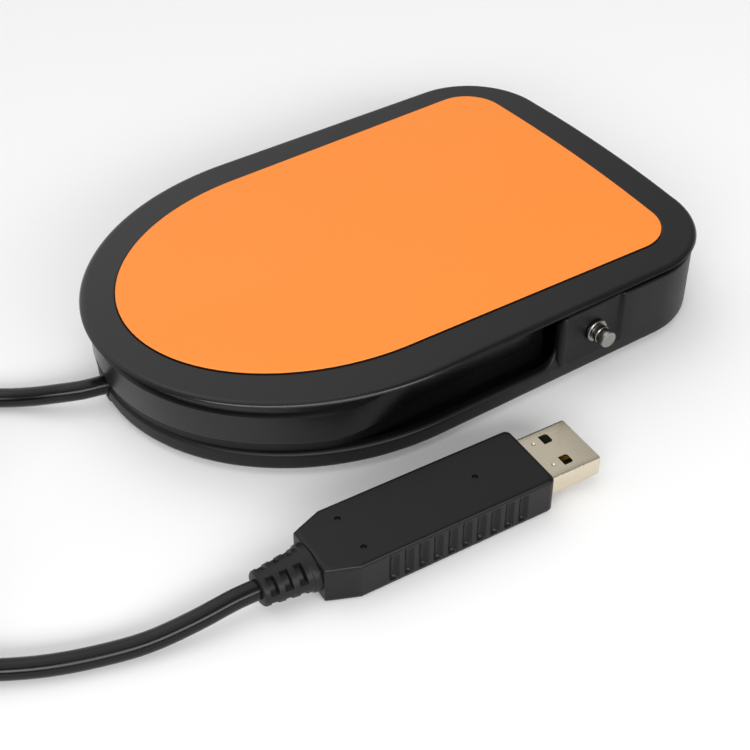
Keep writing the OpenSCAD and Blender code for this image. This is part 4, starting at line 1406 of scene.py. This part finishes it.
    def build_shell(self) -> Piece:
        """Makes the metal shell with its two windows and two spring dimples on each broad face.

        Returns:
            The shell.
        """
        back, front = -self.shell_in, self.shell_out
        lip = [(front - before, inset) for before, inset in self.shell_lip]
        shell = hoop([self.shell_ring(x, i) for x, i in [(back, 0.0), *lip, (back, self.shell_t)]])
        cutters = []
        for side in (-1, 1):
            x, y, e = front - self.window_back, side * self.window_y, self.window_cut
            x0, x1 = x - self.window_half[0], x + self.window_half[0]
            y0, y1 = y - self.window_half[1], y + self.window_half[1]
            plan = [(x0, y0), (x1 - e, y0), (x1, y0 + e), (x1, y1 - e), (x1 - e, y1), (x0, y1)]
            cutters.append(self.prism(plan, -self.cut_past, self.height + self.cut_past))
            cutters += [self.dimple(y, up) for up in (-1, 1)]
        return cut_away(make_piece("socket_shell", [shell], NICKEL_PLATE), cutters, NICKEL_PLATE)

    def build(self) -> list[Piece]:
        """Makes the plug's pieces.

        Returns:
            The pieces that lie on the lead.
        """
        return [
            seat(self.build_case(), "base", "plug_black", "plug_housing"),
            seat(self.build_boot(), "base", "lead_black", "plug_boot"),
            seat(self.build_shell(), "base", "nickel_shell", "usb_shell"),
        ]


@dataclass
class Lead:
    """The lead from the toe to the plug, with its spare length wound and strapped."""

    pedal: Pedal
    plug: Plug
    coil_mid: Flat = (-134.0, 2.0)
    coil_pitch: float = 4.3
    layer_turns: int = 3
    climbs: int = 3
    climb_turns: float = 0.5
    end_step: int = 273
    steps: int = 24
    outer_r: float = 29.2
    lift: float = 0.1
    straight: float = 4.0
    strap_t: float = 0.8
    strap_w: float = 6.0
    strap_deg: float = 330.0
    strap_room: float = 0.3
    strap_round: float = 2.2
    # Share of the thickness and bulge along the strap's edge.
    strap_edge: tuple[Flat, ...] = ((0.0, 0.0), (0.3, 0.05), (0.7, 0.05), (1.0, 0.0))
    at_pedal: tuple[Point, ...] = (
        (-68.2, 8.3, 3.9), (-71.8, 11.0, 3.0), (-75.4, 14.0, 2.2), (-79.4, 17.0, 1.95), (-86.0, 21.2, 1.95),
        (-94.0, 25.2, 1.95), (-102.8, 28.4, 1.95), (-111.5, 30.5, 2.2), (-119.5, 31.2, 2.6),
    )
    at_plug: tuple[Point, ...] = (
        (-73.8, -55.9, 3.2), (-82.0, -54.7, 2.2), (-90.0, -52.5, 1.95), (-97.5, -49.7, 1.95), (-104.5, -46.2, 2.2),
        (-112.0, -42.3, 3.4), (-119.5, -38.4, 5.8), (-127.0, -34.5, 9.0), (-134.5, -30.6, 12.4), (-141.5, -26.5, 14.8),
    )
    plug_nodes: tuple[str, ...] = (
        "plug_cable_end", "plug_board", "plug_chip", "plug_wires", "usb_tongue", "usb_contacts",
    )

    @property
    def low_z(self) -> float:
        """Height of the lowest turns' middle."""
        return self.pedal.lead_r + self.strap_t + self.lift

    def turn_at(self, t: float) -> Vector:
        """Gives a point of the coil, which goes in and out in layers and climbs where it turns back.

        Args:
            t: number of turns from its start.

        Returns:
            The point.
        """
        n = self.layer_turns
        back = t % (2 * n)
        r = self.outer_r - self.coil_pitch * (back if back < n else 2 * n - back)
        nearest = round(t / n)
        u = clamp((t - nearest * n) / self.climb_turns + 0.5)
        climb = 0.0 if nearest == 0 else nearest - 1 + (1 - math.cos(math.pi * u)) / 2
        a = math.radians(90 + 360 * t)
        x, y = self.coil_mid[0] + r * math.cos(a), self.coil_mid[1] + r * math.sin(a)
        return Vector((x, y, self.low_z + self.coil_pitch * climb))

    def route(self) -> list[Vector]:
        """Finds the middle line from the bush to the strain relief.

        Returns:
            Points about 2 mm apart, in millimetres.
        """
        p, plug, d = self.pedal, self.plug, 2 * self.pedal.lead_r
        turn, end = math.radians(p.lead_turn), math.radians(90 + 360 * self.end_step / self.steps)
        face, out = Vector(p.lead_at), Vector((-math.cos(turn), math.sin(turn), 0))
        coil = [self.turn_at(k / self.steps) for k in range(self.end_step + 1)]
        first, leave = coil[0] + Vector((d, 0, 0)), Vector((-math.sin(end), math.cos(end), 0)) * d
        last = coil[-1] + leave
        boot = Vector(plug.put(-plug.length - plug.boot_l, 0, plug.mid))
        back = (boot - Vector(plug.put(-plug.length, 0, plug.mid))).normalized()
        rough = [face, face + self.straight * out, *map(Vector, self.at_pedal)]
        rough += [first + Vector((self.straight, 0, 0)), first, *coil, last, last + leave]
        rough += [*map(Vector, reversed(self.at_plug)), boot + self.straight * back, boot]
        return self.smooth(rough)

    def smooth(self, rough: Sequence[Vector]) -> list[Vector]:
        """Runs a smooth curve through the route's points.

        Args:
            rough: the points.

        Returns:
            Points about 2 mm apart.
        """
        fine = []
        last = len(rough) - 1
        for k in range(last):
            p0, p1, p2, p3 = rough[max(k - 1, 0)], rough[k], rough[k + 1], rough[min(k + 2, last)]
            span = (p2 - p1).length
            into = (p2 - p0).normalized() * span if k else p2 - p1
            away = (p3 - p1).normalized() * span if k + 2 <= last else p2 - p1
            count = max(1, round(span / 2))
            for j in range(count):
                t = j / count
                fine.append(
                    p1 * (2 * t ** 3 - 3 * t ** 2 + 1) + into * (t ** 3 - 2 * t ** 2 + t)
                    + p2 * (3 * t ** 2 - 2 * t ** 3) + away * (t ** 3 - t ** 2)
                )
        return [*fine, rough[last]]

    def strap(self) -> Piece:
        """Makes the strap round the coil's turns.

        Returns:
            The strap.
        """
        r, t, half = self.pedal.lead_r + self.strap_room, self.strap_t, self.strap_w / 2
        inner, outer = self.outer_r - self.layer_turns * self.coil_pitch - r, self.outer_r + r
        high = self.low_z + self.climbs * self.coil_pitch + r
        turn = math.radians(self.strap_deg)
        radial, along = Vector((math.cos(turn), math.sin(turn), 0)), Vector((-math.sin(turn), math.cos(turn), 0))
        base = Vector((*self.coil_mid, 0))
        edge = [(t * share, half + bulge) for share, bulge in self.strap_edge]
        rings = []
        for out, side in [(out, -side) for out, side in edge] + edge[::-1]:
            loop = rounded((inner, outer, t, high), self.strap_round, self.strap_round + out, 8)
            rings.append([tuple(base + radial * x + along * side + Vector((0, 0, max(z, 0.0)))) for x, z in loop])
        return make_piece("coil_strap", [hoop(rings)], STRAP_NYLON, sharp_deg=50.0)

    def build(self, on_lead: Sequence[Piece]) -> None:
        """Args:
            on_lead: the plug's own pieces; not used.
        """
        points, r = self.route(), self.pedal.lead_r * MM
        data = bpy.data.curves.new("lead", "CURVE")
        data.dimensions = "3D"
        data.bevel_depth = r
        data.bevel_resolution = 6
        data.use_fill_caps = True
        line = data.splines.new("POLY")
        line.points.add(len(points) - 1)
        for spot, point in zip(points, line.points):
            point.co = (*(spot * MM), 1.0)
        data.materials.append(PVC_JACKET.build())
        lead = seat(link("lead", data), "base", "lead_black", "cord_at_pedal", "cord_coil", "cord_at_plug")
        strap = seat(self.strap(), "base", "tie_black", "coil_tie")
        length = sum((b - a).length for a, b in zip(points, points[1:])) * MM
        inner = [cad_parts[name] for name in self.plug_nodes]
        LOG.info("lead is %.3f m long", length)
        tuple(c * MM for c in self.pedal.lead_at)


@dataclass
class Studio:
    """Camera, floor and soft light, with the camera in millimetres and the rest in metres."""

    camera_at: Point = (-139.85, -206.45, 197.41)
    look: Point = (0.42497, 0.62495, -0.65486)
    lens_mm: float = 72.0
    floor_half: float = 4.0
    floor_z: float = -0.0002
    bright_side: Point = (-0.342, 0.94, 0.6)
    # Share of the way to the bright side and brightness there.
    levels: tuple[Flat, ...] = ((-0.6, 0.2), (-0.2, 0.28), (0.5, 0.42), (0.65, 0.45), (1.0, 1.08))
    horizon: float = 0.5
    horizon_z: Flat = (0.2, 0.02)

    def camera(self) -> None:
        """Makes the camera at the photograph's viewing angle."""
        data = bpy.data.cameras.new("camera")
        data.lens = self.lens_mm
        data.sensor_width = 36.0
        data.clip_start = 0.01
        camera = link("camera", data)
        camera.location = Vector(self.camera_at) * MM
        camera.rotation_euler = Vector(self.look).to_track_quat("-Z", "Y").to_euler()
        bpy.context.scene.camera = camera

    def floor(self) -> None:
        """Makes the pale floor."""
        mesh, s, z = bpy.data.meshes.new("floor"), self.floor_half, self.floor_z
        mesh.from_pydata([(-s, -s, z), (s, -s, z), (s, s, z), (-s, s, z)], [], [(0, 1, 2, 3)])
        # Matt white paper with a trace of light of its own, so that it stays pale under the object.
        material = bpy.data.materials.new("pale_paper")
        material.use_nodes = True
        tune(material.node_tree.nodes["Principled BSDF"], {
            "Base Color": linear("#f2f2f2"), "Roughness": 0.9, "Specular IOR Level": 0.1,
            "Emission Color": linear("#ffffff"), "Emission Strength": 0.04,
        })
        mesh.materials.append(material)
        link("floor", mesh)

    def lamp(self, name: str, at: Point, size: Flat, power: float) -> None:
        """Adds a soft white light that faces the pedal.

        Args:
            name: the light's name.
            at: its place.
            size: its width and height.
            power: its power, in watts.
        """
        data = bpy.data.lights.new(name, "AREA")
        data.shape = "RECTANGLE"
        data.size, data.size_y = size
        data.energy = power
        lamp = link(name, data)
        lamp.location = at
        lamp.rotation_euler = (-Vector(at)).to_track_quat("-Z", "Y").to_euler()

    def light(self) -> None:
        """Makes the white surroundings, brighter at the back on the left, and the soft lights."""
        world = bpy.data.worlds.new("white_tent")
        world.use_nodes = True
        tree = world.node_tree
        way = add_node(tree, "ShaderNodeTexCoord")
        side = {"operation": "DOT_PRODUCT", 1: self.bright_side}
        along = add_node(tree, "ShaderNodeVectorMath", side, {0: (way, "Generated")})
        place = add_node(tree, "ShaderNodeMapRange", {"From Min": -1.0, "From Max": 1.0}, {"Value": (along, "Value")})
        ramp = add_node(tree, "ShaderNodeValToRGB", None, {"Fac": (place, "Result")})
        stops = ramp.color_ramp.elements
        while len(stops) < len(self.levels):
            stops.new(0.5)
        for stop, (at, level) in zip(stops, self.levels):
            stop.position = (at + 1) / 2
            stop.color = (level, level, level, 1.0)
        height = add_node(tree, "ShaderNodeSeparateXYZ", None, {0: (way, "Generated")})
        fade = {"interpolation_type": "SMOOTHSTEP", "From Min": self.horizon_z[0], "From Max": self.horizon_z[1]}
        low = add_node(tree, "ShaderNodeMapRange", fade, {"Value": (height, "Z")})
        grey = {"data_type": "RGBA", 7: (self.horizon, self.horizon, self.horizon, 1.0)}
        sky = add_node(tree, "ShaderNodeMix", grey, {0: (low, "Result"), 6: (ramp, "Color")})
        tree.links.new(sky.outputs[2], tree.nodes["Background"].inputs["Color"])
        bpy.context.scene.world = world
        self.lamp("overhead", (-0.2, 0.15, 2.0), (2.4, 1.8), 9.5)
        self.lamp("front_strip", (-0.311, -0.734, 0.417), (1.6, 0.25), 9.0)
        bpy.context.scene.view_settings.view_transform = "Standard"


def dress_kept() -> None:
    """Gives each CAD node that keeps its shape its material."""
    for finish, names in KEPT_NODES.items():
        material = finish.build()
        for name in names:
            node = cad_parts[name]
            if not node.material_slots:
                node.data.materials.append(material)
            for slot in node.material_slots:
                slot.material = material
            LOG.info("%s is %s", name, finish.name)


def main() -> None:
    """Builds the camera and the lead first, then the rest."""
    logging.basicConfig(level=logging.INFO, format="%(name)s: %(message)s")
    studio, pedal, plug = Studio(), Pedal(), Plug()
    studio.camera()
    Lead(pedal, plug).build(plug.build())
    Cover(pedal).build()
    Tray(pedal).build()
    Hinge(pedal).build()
    dress_kept()
    studio.floor()
    studio.light()


if __name__ == "__main__":
    main()
